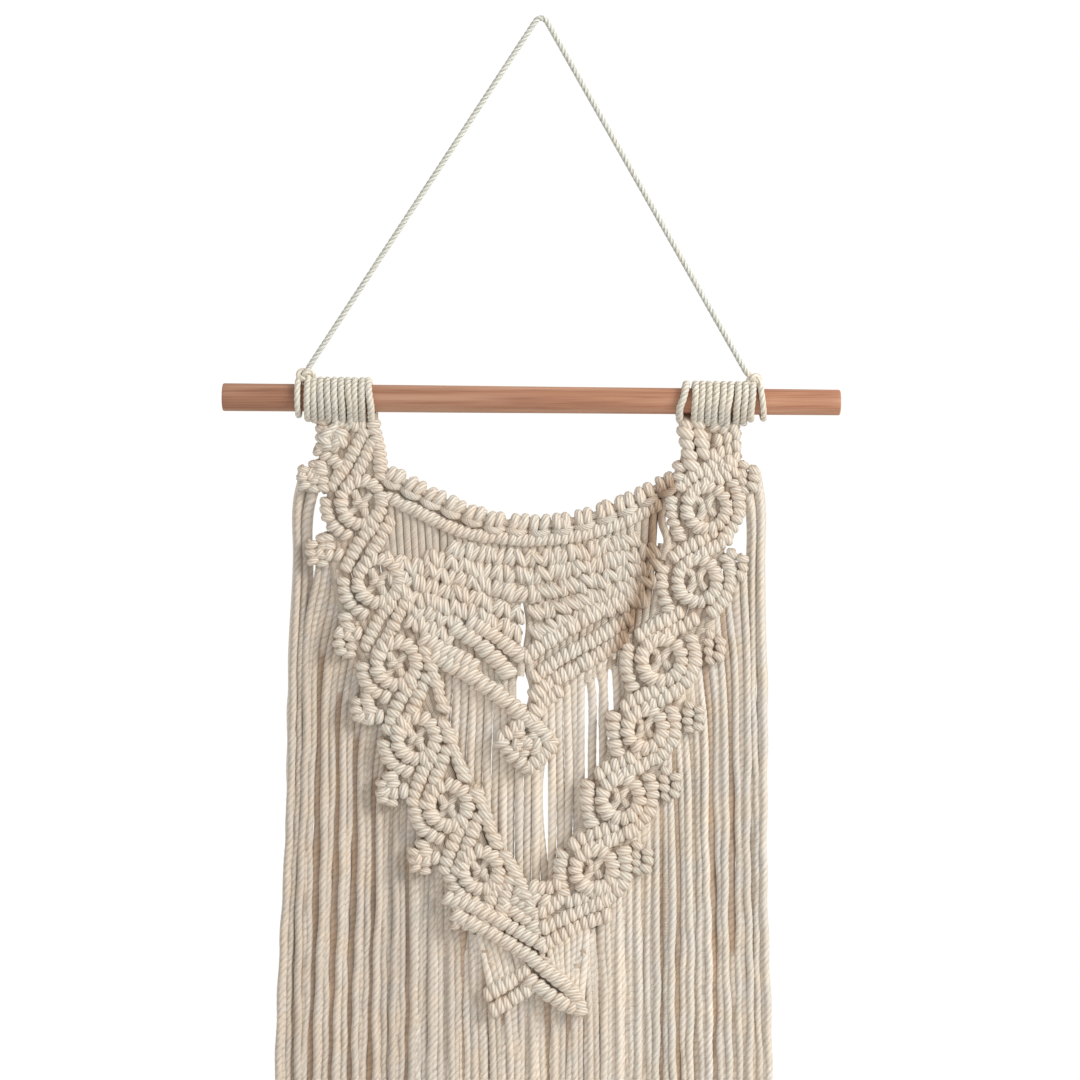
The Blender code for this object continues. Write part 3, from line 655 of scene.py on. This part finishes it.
# a motif is a ring of hitches round an eye with its own slanting rows; its lists are in millimetres
# from the middle of the eye: across, up. Each place says where a motif's eye is, across and up, how
# many degrees it is turned, and its size.
leftSide = {
    "ring": (0.5, 1, 10.6, 11.4),
    "rows": (
        ((9.5, -9.5), (6, -14), (3, -20), (0.5, -27), (-1.5, -34)),
        ((17, -6), (14.2, -13), (11.5, -20.5), (8.5, -29), (5.5, -35)),
        ((-17.5, -2), (-15, -10), (-10.5, -14.5), (-4.5, -17)),
        ((-14, -20), (-12.5, -24.5)),
        ((-16.5, -28.5), (-11.5, -29), (-6.5, -28)),
    ),
    "slanted": (((15.5, 8.5), (18.5, 2), (21.5, -6), (24.5, -14.5), (27, -20.5)),),
    "eye": (((-4.5, 6.5), (-1, 1.5), (1.5, -1), (5, -6)), ((5, 6.5), (0.5, 0.5), (-4.5, -5.5))),
    "centre": ((-1.6, 0.6), (1.8, -0.4)),
    "places": ((-99.5, -267.5, -10, 1.05), (-90, -310.5, -8, 1.05), (-80, -356, -4, 1.03),
        (-69, -397, 0, 1), (-51.5, -434, 0, 1), (-33.5, -469.5, 6, 0.93)),
    "shoulder": (
        ((-122, -238), (-117, -241.5), (-111.5, -245.5)),
        ((-121.5, -245.5), (-120.5, -252), (-119.5, -258.5)),
        ((-109.5, -222.5), (-104, -224), (-98, -223)),
        ((-97.5, -228), (-100.5, -233.5), (-103.5, -239), (-106.5, -245), (-111, -251), (-114.5, -257.5)),
        ((-93, -234), (-96, -241), (-99.5, -247.5), (-103.5, -254)),
        ((-92.5, -223.5), (-91, -230), (-89.5, -237), (-88.5, -244), (-88, -252)),
    ),
    # a big round knot of fat turns at the top: across, up, its half width and half height; and rows of
    # turns beside it
    "balls": ((-114.6, -231, 4.6, 4.8),),
    "turns": (((-119.5, -222), (-120, -229), (-120, -236)),),
    "turnDepthMm": 0.8, "turnKnots": {},
    # the small loops on the outer edge, and short rows behind the others
    "outward": -1.0, "picots": ((-127, -248), (-122.5, -289), (-107, -339), (-97.5, -375.5),
        (-84, -420.5), (-66, -458)),
    "picotLean": -16.0, "hidden": (((-131, 1.2, -251), (-122.5, 1.2, -251.5)),),
    # painted shade under the rod, between the turns of cord
    "shade": ((-98, -216.5), (-95, -217.5)),
    # height, outer edge, inner edge
    "edges": ((-217, -125, -91), (-226, -121, -91), (-250, -118, -87), (-276, -117, -84.5),
        (-298, -117, -81), (-320, -112, -77.5), (-342, -103, -70), (-360, -95, -62.5), (-378, -88, -55.5),
        (-396, -82.5, -48.5), (-416, -74.5, -39), (-436, -68, -32), (-452, -62.5, -26),
        (-466, -54.5, -19.5), (-482, -44, -9.5), (-497, -36, 2)),
}
rightSide = {
    "ring": (0.8, -1, 10.4, 11),
    "rows": (
        ((-7, 6), (-3, 9.5), (2, 12), (7, 14.5), (12, 17), (18, 20.5)),
        ((-10.5, 12), (-6, 15.5), (-1.5, 17.8), (3.5, 20), (10, 24)),
        ((-17, 6), (-17.5, 0), (-17.2, -7), (-15, -14.5)),
        ((16.5, 10), (18.2, 2.5), (17, -6), (13, -12.5), (7.5, -18)),
    ),
    "slanted": (),
    "eye": (((5.5, 6), (1.5, 1), (-0.5, -1.5), (-4, -6.5)), ((-4.5, 5.5), (0.5, 0), (5, -5.5))),
    "centre": ((-1.4, -0.6), (1.9, 0.4)),
    "places": ((90, -268.5, 8, 1.05), (85, -308.5, 3, 1.05), (65.5, -352, 0, 1.05), (56.5, -390, 0, 0.95),
        (43, -428, 0, 1), (28.5, -467, -3, 1)),
    "shoulder": (
        ((96, -224.5), (101, -226), (106, -225.5)),
        ((97.5, -232.5), (102, -231), (107.5, -229.5)),
        ((95, -240.5), (101, -238), (107.5, -235.5)),
        ((91.5, -249.5), (99, -245.5), (107.5, -241.5)),
        ((98, -254), (106.5, -249.5)),
        ((76, -247), (75.5, -252.5), (76, -258)),
    ),
    "balls": (),
    "turns": (((79.5, -223), (80, -230.5), (81, -238), (82.5, -246)), ((86, -223), (88, -231),
        (89.5, -239.5))),
    "turnDepthMm": -0.3, "turnKnots": {"size": 1.18, "lean": 30.0},
    "outward": 1.0, "picots": ((113.5, -248.5), (107, -297), (95, -342), (83.5, -380), (70.5, -417),
        (55, -458)),
    "picotLean": 16.0, "hidden": (((79.5, 3.4, -217.8), (85, 3.4, -218.4)), ((110, 1.2, -250.5),
        (116.3, 1.2, -251.2))),
    "shade": ((77, -217.5), (84, -218)),
    "edges": ((-218.2, 111, 78), (-228, 106.5, 79.5), (-250, 104, 77), (-276, 103, 73),
        (-298, 100.5, 69.5), (-320, 97, 64), (-342, 90.5, 55.5), (-360, 82, 50.5), (-378, 75.5, 46.5),
        (-396, 72, 40), (-416, 65, 31.5), (-432, 57.5, 25.5), (-447, 50.5, 19.5), (-463, 45, 12.5),
        (-480, 39.5, 8.5), (-498, 28, 0)),
}


def passingCords(edges, seed):
    # the working cords between one row and the next, seen in the gaps and in the eyes
    draw = random.Random(seed)
    paths = []
    for number in range(band["cordCount"]):
        share = (number + 0.5) / band["cordCount"]
        phase = draw.uniform(0.0, math.tau)
        path = []
        for height, outer, inner in edges:
            sway = band["swingMm"] * math.sin(phase + height / band["waveMm"])
            stir = draw.uniform(-band["cordStirMm"], band["cordStirMm"])
            path.append((outer + (inner - outer) * share + sway, band["cordDepthMm"] + stir, height))
        paths.append(path)
    return paths


def makeBand(name, own, seed):
    places, finer, ringDepth = own["places"], band["finerMotifs"], band["ringDepthMm"]
    parts = []
    for upper, chosen in ((True, places[:finer]), (False, places[finer:])):
        # the upper motifs are knotted a little finer
        size = band["finer"] if upper else 1.0
        rings = [turned(ringPoints(own["ring"]), place, ringDepth) for place in chosen]
        rows = [turned(row, place) for place in chosen for row in own["rows"]]
        rows += atDepth(own["shoulder"]) if upper else []
        parts += knotRows(f"{name}Rings{upper}", rings, size=size, seed=seed, **band["rings"])
        parts += knotRows(f"{name}Rows{upper}", rows, size=size, seed=seed + 1, **band["rows"])
    picots = [[(x + own["outward"] * a, depth, z + b) for a, b in points]
              for x, z in own["picots"] for depth, points in band["picotRows"]]
    parts += knotRows(name + "Picots", picots, seed=seed + 6, lean=own["picotLean"], **band["picots"])
    slanted = [turned(row, place, band["slantDepthMm"]) for place in places[finer:]
               for row in own["slanted"]]
    if slanted:
        parts += knotRows(name + "Slanted", slanted, seed=seed + 5, **band["slanted"])
    for ball in own["balls"]:
        across = [[(ball[0] + a, depth, ball[1] + b) for a, depth, b in band["ballRow"]]]
        parts += knotRows(name + "Ball", atDepth([ringPoints(ball)], ringDepth), seed=seed + 8,
                          **band["ball"])
        parts += knotRows(name + "BallTop", across, seed=seed + 10, **band["ballTop"])
    parts += knotRows(name + "Turns", atDepth(own["turns"], own["turnDepthMm"]), seed=seed + 7,
                      **own["turnKnots"])
    parts += knotRows(name + "Behind", own["hidden"], seed=seed + 11, held=False)
    centres = [turned(own["centre"], place, band["centreDepthMm"]) for place in places]
    parts += knotRows(name + "Centres", centres, seed=seed + 9, **band["centres"])
    eyes = [turned(path, place, depth) for place in places
            for path, depth in zip(own["eye"], (ringDepth, 0.0))]
    parts.append(twist(name + "Eyes", eyes, seed=seed + 2, **band["eyes"]))
    parts.append(twist(name + "Passing", passingCords(own["edges"], seed + 3), seed=seed + 4,
                       **band["cords"]))
    made = joinAll(name, parts, cottonKnot)
    shadeAlong(made, own["shade"], band["shadeWidthMm"], 1.0)
    return made


leftBand = makeBand("leftBandKnotted", leftSide, 20)
settle(leftBand, "cotton_cord", "left_band")
rightBand = makeBand("rightBandKnotted", rightSide, 30)
settle(rightBand, "cotton_cord", "right_band")
print("bands knotted", len(leftBand.data.polygons), len(rightBand.data.polygons))

# the heading between the bands: a holding cord, scallops of knots under it, and a row under those
swag = {
    "edge": ((-86, -249.5), (-76, -254.5), (-60, -262.8), (-43, -270.5), (-26, -276.5), (-9, -278.3),
        (0, -278.5), (11, -277.5), (26, -274.5), (43, -268), (54, -263), (73.5, -253.5)),
    "under": ((-84, -263.5), (-66, -272), (-55, -277.5), (-43, -282.5), (-22, -286), (-0.5, -287),
        (20, -284.5), (37, -280), (50, -275), (64, -268)),
    "units": 14, "spreadMm": 2.5, "liftMm": 0.1, "strayMm": (0.6, 0.4), "loopDepthMm": -0.3, "stubMm": 0.3,
    # the cord round the foot of each scallop: across, depth, up
    "bar": ((-5.6, 2.4, -3.5), (-3.2, -1.4, -4.8), (0.0, -2.5, -5.4), (3.2, -1.4, -4.6), (5.6, 2.4, -3.0)),
    # plain cords behind the scallops: how far below the holding cord, and how deep
    "behind": (1.2, 5.0, 9.0), "behindDepthMm": 2.4,
    "loopKnots": {"seed": 42, "size": 0.94, "length": 1.2, "pitch": 0.2, "uneven": 2.0, "held": False},
    "underKnots": {"seed": 45, "size": 0.92, "pitch": 0.95},
    "barCord": {"seed": 43, "radius": 2.3}, "heldCord": {"seed": 44, "radius": 2.2},
    "behindCord": {"seed": 46, "radius": 2.6, "shade": 0.3},
}


def along(points, share):
    # a point part of the way along a line of points, and the line's slope there
    spans = [math.dist(a, b) for a, b in zip(points, points[1:])]
    left = share * sum(spans)
    for (a, b), span in zip(zip(points, points[1:]), spans):
        if left <= span:
            break
        left -= span
    part = left / span
    return a[0] + (b[0] - a[0]) * part, a[1] + (b[1] - a[1]) * part, math.atan2(b[1] - a[1], b[0] - a[0])


def makeSwag():
    # each scallop is two fat turns side by side and a cord round their foot
    draw = random.Random(41)
    loops, bars = [], []
    (wide, high), depth = swag["strayMm"], swag["loopDepthMm"]
    for unit in range(swag["units"]):
        x, z, slope = along(swag["edge"], (unit + 0.5) / swag["units"])
        cosine, sine = math.cos(slope), math.sin(slope)
        for side in (-1.0, 1.0):
            start = side * swag["spreadMm"] + draw.uniform(-wide, wide)
            b = swag["liftMm"] + draw.uniform(-high, high)
            loops.append([(x + a * cosine - b * sine, depth, z + a * sine + b * cosine)
                          for a in (start, start + swag["stubMm"])])
        bars.append([(x + a * cosine - b * sine, y, z + a * sine + b * cosine)
                     for a, y, b in swag["bar"]])
    return loops, bars


swagLoops, swagBars = makeSwag()
swagBehind = [[(x, swag["behindDepthMm"], z - drop) for x, z in swag["edge"]] for drop in swag["behind"]]
swagParts = knotRows("swagLoops", swagLoops, **swag["loopKnots"])
swagParts.append(twist("swagBars", swagBars, **swag["barCord"]))
swagParts.append(twist("swagHeld", atDepth([swag["edge"]]), **swag["heldCord"]))
swagParts.append(twist("swagBehind", swagBehind, **swag["behindCord"]))
swagParts += knotRows("swagUnder", atDepth([swag["under"]]), **swag["underKnots"])
swagKnotted = joinAll("swagKnotted", swagParts, cottonKnot)
settle(swagKnotted, "cotton_cord", "swag")
print("swag knotted", len(swagKnotted.data.polygons))

# the net between the bands: rows of knots in chevrons, over loose working cords
net = {
    # the fullest knots, in the slanting rows to the left
    "long": (
        ((-64, -341.5), (-50, -349.5), (-38, -356)),
        ((-58, -351), (-42, -359.5), (-28, -369), (-16, -378.5), (-9, -384.5)),
        ((-47, -335.5), (-35, -343), (-26, -351.5), (-17.5, -360.5)),
    ),
    # the chevrons, then the small diamond at their point
    "rows": (
        ((-38, -332.5), (-28, -338), (-20, -344), (-11.5, -351)),
        ((-7.5, -351), (8, -340), (25, -330), (48, -317)),
        ((-3, -362), (12, -351.5), (30, -341.5), (48, -330.5)),
        ((-4, -373), (4, -366), (15, -360), (30, -351), (46, -340.5)),
        ((-5, -384), (1, -376), (9, -370)),
        ((-22, -396), (-14.5, -390.5), (-7.5, -385.5)),
        ((-6, -387), (0, -392.5), (5.5, -398.5)),
        ((-21.5, -398.5), (-15, -406), (-7.5, -412)),
        ((5, -400.5), (0, -406.5), (-6, -412)),
        ((-13, -399.5), (-7.5, -398), (-2, -399.5)),
    ),
    # the finer, flatter rows under the heading, left arm and right arm
    "fine": (
        ((-50, -292), (-30, -295.5), (-8, -297.5)),
        ((-62, -297), (-34, -303.5), (-8, -307.5)),
        ((-83, -299), (-60, -304.5), (-36, -311), (-9, -317)),
        ((-82, -307), (-60, -313), (-38, -319), (-12, -328.5)),
        ((-79, -315), (-60, -321), (-38, -327.5), (-13, -338.5)),
        ((-76, -323), (-60, -328.5), (-46, -333)),
        ((-72, -331), (-60, -336.5), (-50, -341)),
        ((52, -286.5), (30, -292.5), (-5, -298)),
        ((62.5, -293), (34, -300), (-5, -307)),
        ((63.5, -301), (34, -308.5), (-5, -317)),
        ((61.5, -309.5), (34, -317), (-3.5, -327.5)),
        ((56, -319), (30, -326.5), (-3, -338)),
    ),
    # the knots in the middle of the small diamond
    "middle": (((-12.5, -393.5), (-8, -398.5), (-3, -403)), ((-4.5, -394.5), (-1.5, -398)),
        ((-13, -399.5), (-9, -404.5))),
    # short cords that close the middle line between the two windows, and one beside the right band
    "joins": (((-10, -346), (-10.6, -355), (-11.5, -362)), ((-6.5, -347), (-6.2, -355), (-5.5, -362.5)),
        ((69.4, -256), (68, -267), (66.4, -276), (69.6, -288), (67, -298))),
    # each kind of row: its depth, its seed, and how its knots lie
    "kinds": {"rows": (0.0, {"seed": 52, "size": 0.97, "length": 1.1, "uneven": 2.0}),
              "long": (-0.4, {"seed": 55, "size": 1.0, "length": 1.22}),
              "fine": (0.3, {"seed": 53, "size": 0.84, "length": 1.6, "uneven": 3.8, "lean": -18.0}),
              "middle": (-0.6, {"seed": 57, "size": 0.85})},
    "cords": {"seed": 54, "radius": 2.4, "shade": 0.05}, "joinCords": {"seed": 56, "radius": 2.5},
    "joinDepthMm": 0.4, "cordCount": 38, "firstMm": -83.0, "apartMm": 4.15, "strayMm": 0.6,
    "cordDepths": (1.4, 2.0, 2.4),
    # the cords lean in to the middle line by this share
    "middleLine": -6.0, "leanIn": 0.1,
    # the cords end along a V: the height of its arms' ends, how deep it is, its middle, its half width
    "foot": (-344.0, 40.0, -7.0, 76.0),
    # two windows on the middle line: their middle and reach; then heights with how far the cords part
    "windowMiddle": 8.5, "windowReach": 4.2, "windowTop": -316.0,
    "parting": ((-334, 2.2), (-350, 0.6), (-358, 1.5), (-370, 4.2), (-381, 2)),
    # right of here the cords start lower, below a third window
    "windowEdge": 63.0, "windowFoot": -289.0,
    # where the knotting dips behind the right band: its shade is painted along this line
    "dip": ((76, -252), (66, -262), (61, -290), (57, -312), (49, -332), (42, -352)),
    "dipWidthMm": 10.0, "dipShade": 0.8,
}


def netCords():
    # the working cords between the rows
    draw = random.Random(51)
    armEnd, deep, centre, half = net["foot"]
    start, stop = swag["under"][0][0], swag["under"][-1][0]
    stray, (atTop, between, atFoot) = net["strayMm"], net["cordDepths"]
    paths = []
    for number in range(net["cordCount"]):
        x = net["firstMm"] + number * net["apartMm"] + draw.uniform(-0.4, 0.4)
        top = along(swag["under"], min(1.0, max(0.0, (x - start) / (stop - start))))[1] + 1.0
        if x > net["windowEdge"]:
            top = net["windowFoot"]
        low = armEnd - deep * (1.0 - abs(x - centre) / half)
        aside = x + net["windowMiddle"]
        drift = (net["middleLine"] - x) * net["leanIn"]
        if abs(aside) < net["windowReach"]:
            # these part round the two windows
            way = 1.0 if aside > 0 else -1.0
            paths.append([(x, atTop, top), (x, between, net["windowTop"])] + [
                (x + way * part, atFoot, height) for height, part in net["parting"]])
        else:
            middle = x + drift * 0.3 + draw.uniform(-stray, stray)
            paths.append([(x, atTop, top), (middle, between, top * 0.6 + low * 0.4),
                          (x + drift + draw.uniform(-stray, stray), atFoot, low)])
    return paths


netParts = []
for kind, (depth, lies) in net["kinds"].items():
    netParts += knotRows("net" + kind.title(), atDepth(net[kind], depth), **lies)
netParts.append(twist("netCords", netCords(), **net["cords"]))
netParts.append(twist("netJoins", atDepth(net["joins"], net["joinDepthMm"]), **net["joinCords"]))
netKnotted = joinAll("netKnotted", netParts, cottonKnot)
# painted shade along the dip, on the net and on the heading
for item in (netKnotted, swagKnotted):
    shadeAlong(item, net["dip"], net["dipWidthMm"], net["dipShade"])
settle(netKnotted, "cotton_cord", "centre_net")
print("net knotted", len(netKnotted.data.polygons))

# the cross where the bands meet
cross = {
    "over": (
        ((-51, -484), (-40, -487.5), (-27, -493.8), (-12, -502.3), (-1, -508.6)),
        ((-46.5, -493), (-30, -501.7), (-10, -513.2), (0, -521.3), (8, -527.9), (14, -532.9), (19, -538),
         (21.5, -546)),
        ((-5.5, -528.9), (2.6, -535.1), (10, -540.3), (16.7, -543.8)),
    ),
    # the last five of these are where the two bands meet
    "under": (
        ((-29, -537), (-18, -530.5), (-8, -524)),
        ((-26, -545.5), (-14, -538.3), (-5, -532.5)),
        ((2, -500), (10, -496.5), (22, -490.8), (36, -484.8)),
        ((1, -510), (6, -506.8), (15, -502.2), (25, -497.4), (36, -493.4)),
        ((15.5, -486), (27, -481.5), (41, -476.5)),
        ((-12.5, -479), (-5, -483), (2, -485.5)),
        ((-19.5, -488.6), (-13, -492.6), (-7, -497), (-1.5, -502)),
        ((-14.5, -484.5), (-9, -488.5), (-3.5, -492)),
        ((-3, -492.5), (4, -489.5), (11, -484)),
        ((-4, -478), (3, -478.5), (9, -476)),
    ),
    "overDepthMm": -1.4, "underDepthMm": 0.2,
    # short cords between the arms: left and right fan, from along the first line to along the second
    "fans": (
        (((-36, -500), (-9, -514)), ((-29, -534), (-7, -527))),
        (((2, -508), (27, -498)), ((6, -525), (23, -540))),
    ),
    "fanCords": 7, "fanRadiusMm": 2.4, "fanDepths": (2.6, 1.2, 2.0, 1.6, 2.8), "strayMm": 0.6,
    "tuckMm": 7.5,
}


def crossCords():
    draw = random.Random(64)
    tuck, paths = cross["tuckMm"], []
    for tops, feet in cross["fans"]:
        for number in range(cross["fanCords"]):
            share = (number + 0.5) / cross["fanCords"]
            (x, z), (footX, footZ) = along(tops, share)[:2], along(feet, share)[:2]
            aside = draw.uniform(-1.0, 1.0) * cross["strayMm"]
            points = ((x, z + tuck), (x, z), ((x + footX) / 2 + aside, (z + footZ) / 2), (footX, footZ),
                      (footX, footZ - tuck))
            paths.append([(a, depth, b) for (a, b), depth in zip(points, cross["fanDepths"])])
    return paths


crossParts = knotRows("crossOver", atDepth(cross["over"], cross["overDepthMm"]), seed=61)
crossParts += knotRows("crossUnder", atDepth(cross["under"], cross["underDepthMm"]), seed=62)
crossKnotted = joinAll("crossKnotted", crossParts, cottonKnot)
settle(crossKnotted, "cotton_cord", "cross")
fans = twist("crossCords", crossCords(), cross["fanRadiusMm"], seed=65, shade=0.1, finish=cottonStrand)
settle(fans, "cotton_cord", "cross")
print("cross knotted", len(crossKnotted.data.polygons))

bpy.data.objects.remove(hitchKnot, do_unlink=True)

# the loose strands, in front, in the V between the bands, and behind
frontStrands = {"depthMm": 6.2, "topMm": 1.4, "radiusMm": 2.28, "stepMm": 1.6, "points": 9,
                "groove": 0.085, "pairMm": 0.75, "strayMm": 0.4}
innerStrands = {**frontStrands, "depthMm": 7.6, "radiusMm": 2.5, "pairMm": 0.0, "strayMm": 0.45}
backStrands = {**frontStrands, "depthMm": 8.9, "topMm": 2.2, "radiusMm": 3.3, "stepMm": 2.0, "points": 6,
               "groove": 0.0, "pairMm": 0.0, "shade": 0.2}
fringe = {
    "endMm": -760.0, "unevenMm": 3.6, "jitter": 0.12, "staggerMm": (-0.7, 0.5), "stirMm": 0.3,
    "tuckMm": 3.0, "leaveMm": 14.0, "leaveSwing": 0.12, "bendMm": 46.0, "swing": 0.45, "bitMm": 9.0,
    "swayMm": 0.7, "waveMm": (60.0, 110.0), "rippleMm": 0.3, "rippleLengthMm": (24.0, 40.0),
    "edgeSwing": 0.14, "edgeBowMm": 2.2, "stripWidthMm": 4.6, "stripShade": 0.6, "stripPushMm": 0.3,
    # a gap opens fast at its top and closes slowly at its foot
    "openMm": 6.0, "closeMm": 60.0,
}
# each comb: its strands in front and behind, its first and last foot across, its painted shade, and the
# line that it hangs from; the outermost strands of a band hang from its first small loop, clear of the
# rest. A strip is a gap where the strand behind is painted deep in shade: the gap's number, its top, its
# foot. A gap is where the strands stand apart: its middle, its top, its foot, and half its width from
# middle of strand to middle of gap.
combs = {
    "Left": {
        "count": 20, "behind": 20, "first": -151.5, "last": -45.5, "shade": 0.22, "gaps": (),
        "spine": ((-127, -291), (-123.6, -291), (-118, -291), (-112, -305), (-98, -345), (-82, -385),
            (-70, -425), (-52, -463), (-43, -488)),
        "edge": ((-129.3, -252), (-124.6, -259)),
        "strips": ((1, -400, -765), (3, -350, -765), (5, -350, -765), (7, -390, -765), (9, -420, -765),
            (13, -440, -765), (15, -460, -765), (19, -500, -765))},
    "Cross": {
        "count": 14, "behind": 13, "first": -36.5, "last": 33.5, "shade": 0.15, "edge": (), "gaps": (),
        "spine": ((-40, -499), (-21, -532), (-11, -530), (0, -516), (16, -532), (30, -499)),
        "strips": ((1, -500, -765), (3, -530, -765), (7, -530, -765), (9, -530, -765), (11, -490, -600))},
    "Right": {
        "count": 18, "behind": 18, "first": 128.0, "last": 38.5, "shade": 0.0, "gaps": (),
        "spine": ((117, -297), (110, -300), (106, -303), (99, -312), (96, -322), (86, -345), (73, -385),
            (63, -425), (46, -463), (33, -488)),
        "edge": ((118, -253), (113.4, -260)),
        "strips": ((3, -310, -520), (5, -340, -765), (9, -380, -765), (11, -430, -765))},
    "Inner": {
        "count": 27, "behind": 0, "first": -71.0, "last": 56.0, "shade": 0.12, "edge": (), "strips": (),
        "spine": ((-66, -343), (-36, -365), (-7.5, -388), (22, -363), (50, -340)),
        "gaps": ((25, -350, -500, 3.2), (31.5, -350, -500, 3.3), (38, -350, -470, 3.6),
            (2, -400, -490, 3.4))},
}


def parted(x, height, gaps):
    # a strand beside a gap keeps clear of it
    for middle, top, foot, reach in gaps:
        clear = reach * min(1.0, (top - height) / fringe["openMm"], (height - foot) / fringe["closeMm"])
        if abs(x - middle) < clear:
            x = middle + math.copysign(clear, x - middle)
    return x


def makeComb(name, behind, seed):
    # a comb of strands from its spine to its feet, standing in pairs; a second comb behind fills the
    # gaps between them
    draw = random.Random(seed)
    own = combs[name]
    layer = backStrands if behind else innerStrands if name == "Inner" else frontStrands
    count, first, last, edge, gaps = [own[key] for key in ("count", "first", "last", "edge", "gaps")]
    side = 1 if last > first else -1
    between = 0.5 if behind else 0.0
    strips = {strip[0]: strip[1:] for strip in own["strips"]}
    paths, shadedStrandLines = [], []
    for number in range(own["behind"] if behind else count):
        share = (number + 0.5 + between - len(edge)) / (count - len(edge))
        share += draw.uniform(-fringe["jitter"], fringe["jitter"]) / count
        x, z = edge[number] if number < len(edge) else along(own["spine"], max(0.0, share))[:2]
        swing = fringe["edgeSwing" if number < len(edge) else "swing"]
        foot = first + (last - first) * (number + between) / (count - 1)
        foot -= layer["pairMm"] * (1 if number % 2 else -1) * side
        if not behind:
            nudge = fringe["stripPushMm"] * side * ((number - 1 in strips) - (number in strips))
            x, foot = x + nudge, foot + nudge
        foot += draw.uniform(-1.0, 1.0) * layer["strayMm"]
        end = fringe["endMm"] + draw.uniform(-fringe["unevenMm"], fringe["unevenMm"])
        hold = layer["depthMm"] + fringe["staggerMm"][number % 2]
        path = [(x, layer["topMm"], z + fringe["tuckMm"])]
        if number < len(edge):
            x -= side * fringe["edgeBowMm"]
        for down, part, depth in (
                (fringe["leaveMm"], fringe["leaveSwing"], (layer["topMm"] + hold) / 2),
                (fringe["bendMm"], swing, hold)):
            path.append((parted(x + (foot - x) * part, z - down, gaps), depth, z - down))
        phase, wave = draw.uniform(0.0, math.tau), draw.uniform(*fringe["waveMm"])
        start, ripple = draw.uniform(0.0, math.tau), draw.uniform(*fringe["rippleLengthMm"])
        low = z - 2.2 * fringe["bendMm"]
        steps = max(3, round((low - end) / fringe["bitMm"]))
        for step in range(steps + 1):
            height = low + (end - low) * step / steps
            part = 1.0 - (1.0 - swing) * (height - end) / (z - fringe["bendMm"] - end)
            sway = fringe["swayMm"] * math.sin(phase + height / wave * 3.0)
            sway += fringe["rippleMm"] * math.sin(start + height / ripple * math.tau)
            across = parted(x + (foot - x) * part + sway, height, gaps)
            path.append((across, hold + draw.uniform(-fringe["stirMm"], fringe["stirMm"]), height))
        paths.append(path)
        if behind and number in strips:
            high, low = strips[number]
            line = [(p[0], p[2]) for p in path if low < p[2] < high]
            shadedStrandLines.append(line[:1] + line[4:-1:8] + line[-1:])
    # the strands in front have their plies in their shape
    made = twist("fringe" + name + ("Back" if behind else ""), paths, layer["radiusMm"],
                 step=layer["stepMm"], seed=seed, points=layer["points"], carved=layer["groove"],
                 shade=layer.get("shade", own["shade"]), finish=cottonStrand)
    # painted deep shade on the strand behind each strip
    for line in shadedStrandLines:
        shadeAlong(made, line, fringe["stripWidthMm"], fringe["stripShade"])
    settle(made, "cotton_cord", "fringe_" + name.lower())
    return len(made.data.polygons)


for number, name in enumerate(combs):
    print("strands", name, makeComb(name, False, 70 + number))
for number, name in enumerate(combs):
    if combs[name]["behind"]:
        print("strands behind", name, makeComb(name, True, 80 + number))

stageSet = {"floorHeight": -0.80, "floorSize": 0.65, "world": 0.72, "seen": 1.12,
            # each light: where it is, what it faces, its size, its power, its colour
            "keySoftbox": ((1.65, -1.1, 0.5), (0.0, 0.0, -0.3), 0.9, 34.0, "FFFDF8"),
            "fillSoftbox": ((-1.3, -1.2, -0.1), (0.0, 0.0, -0.35), 1.2, 2.5, "F6F8FF")}
scene.view_settings.view_transform = "Standard"
world = bpy.data.worlds.new("paleStudio")
scene.world = world
world.use_nodes = True
back = world.node_tree.nodes["Background"]
back.inputs["Color"].default_value = linear("F6F5F3")
# the backdrop is brighter to the camera than the light that it gives
rays = addNode(world.node_tree, "ShaderNodeLightPath").outputs["Is Camera Ray"]
level = addNode(world.node_tree, "ShaderNodeMapRange", {
    "Value": rays, "To Min": stageSet["world"], "To Max": stageSet["seen"]})
world.node_tree.links.new(level.outputs[0], back.inputs["Strength"])

for name in ("keySoftbox", "fillSoftbox"):
    place, target, size, power, colour = stageSet[name]
    data = bpy.data.lights.new(name, "AREA")
    data.shape = "RECTANGLE"
    data.size = data.size_y = size
    data.energy = power
    data.color = linear(colour)[:3]
    lamp = addObject(name, data)
    lamp.location = place
    lamp.rotation_euler = (Vector(target) - Vector(place)).to_track_quat("-Z", "Y").to_euler()

floorMesh = bpy.data.meshes.new("paleFloor")
work = bmesh.new()
bmesh.ops.create_circle(work, cap_ends=True, segments=64, radius=stageSet["floorSize"])
bmesh.ops.translate(work, vec=(0.0, 0.0, stageSet["floorHeight"]), verts=work.verts)
work.to_mesh(floorMesh)
work.free()
# dry, pale plaster, without a shine
floorMaterial, _, floorShader = newMaterial("palePlaster")
floorShader.inputs["Base Color"].default_value = linear("EDECEA")
floorShader.inputs["Roughness"].default_value = 0.9
floorMesh.materials.append(floorMaterial)
addObject("paleFloor", floorMesh)
print("stage lit")
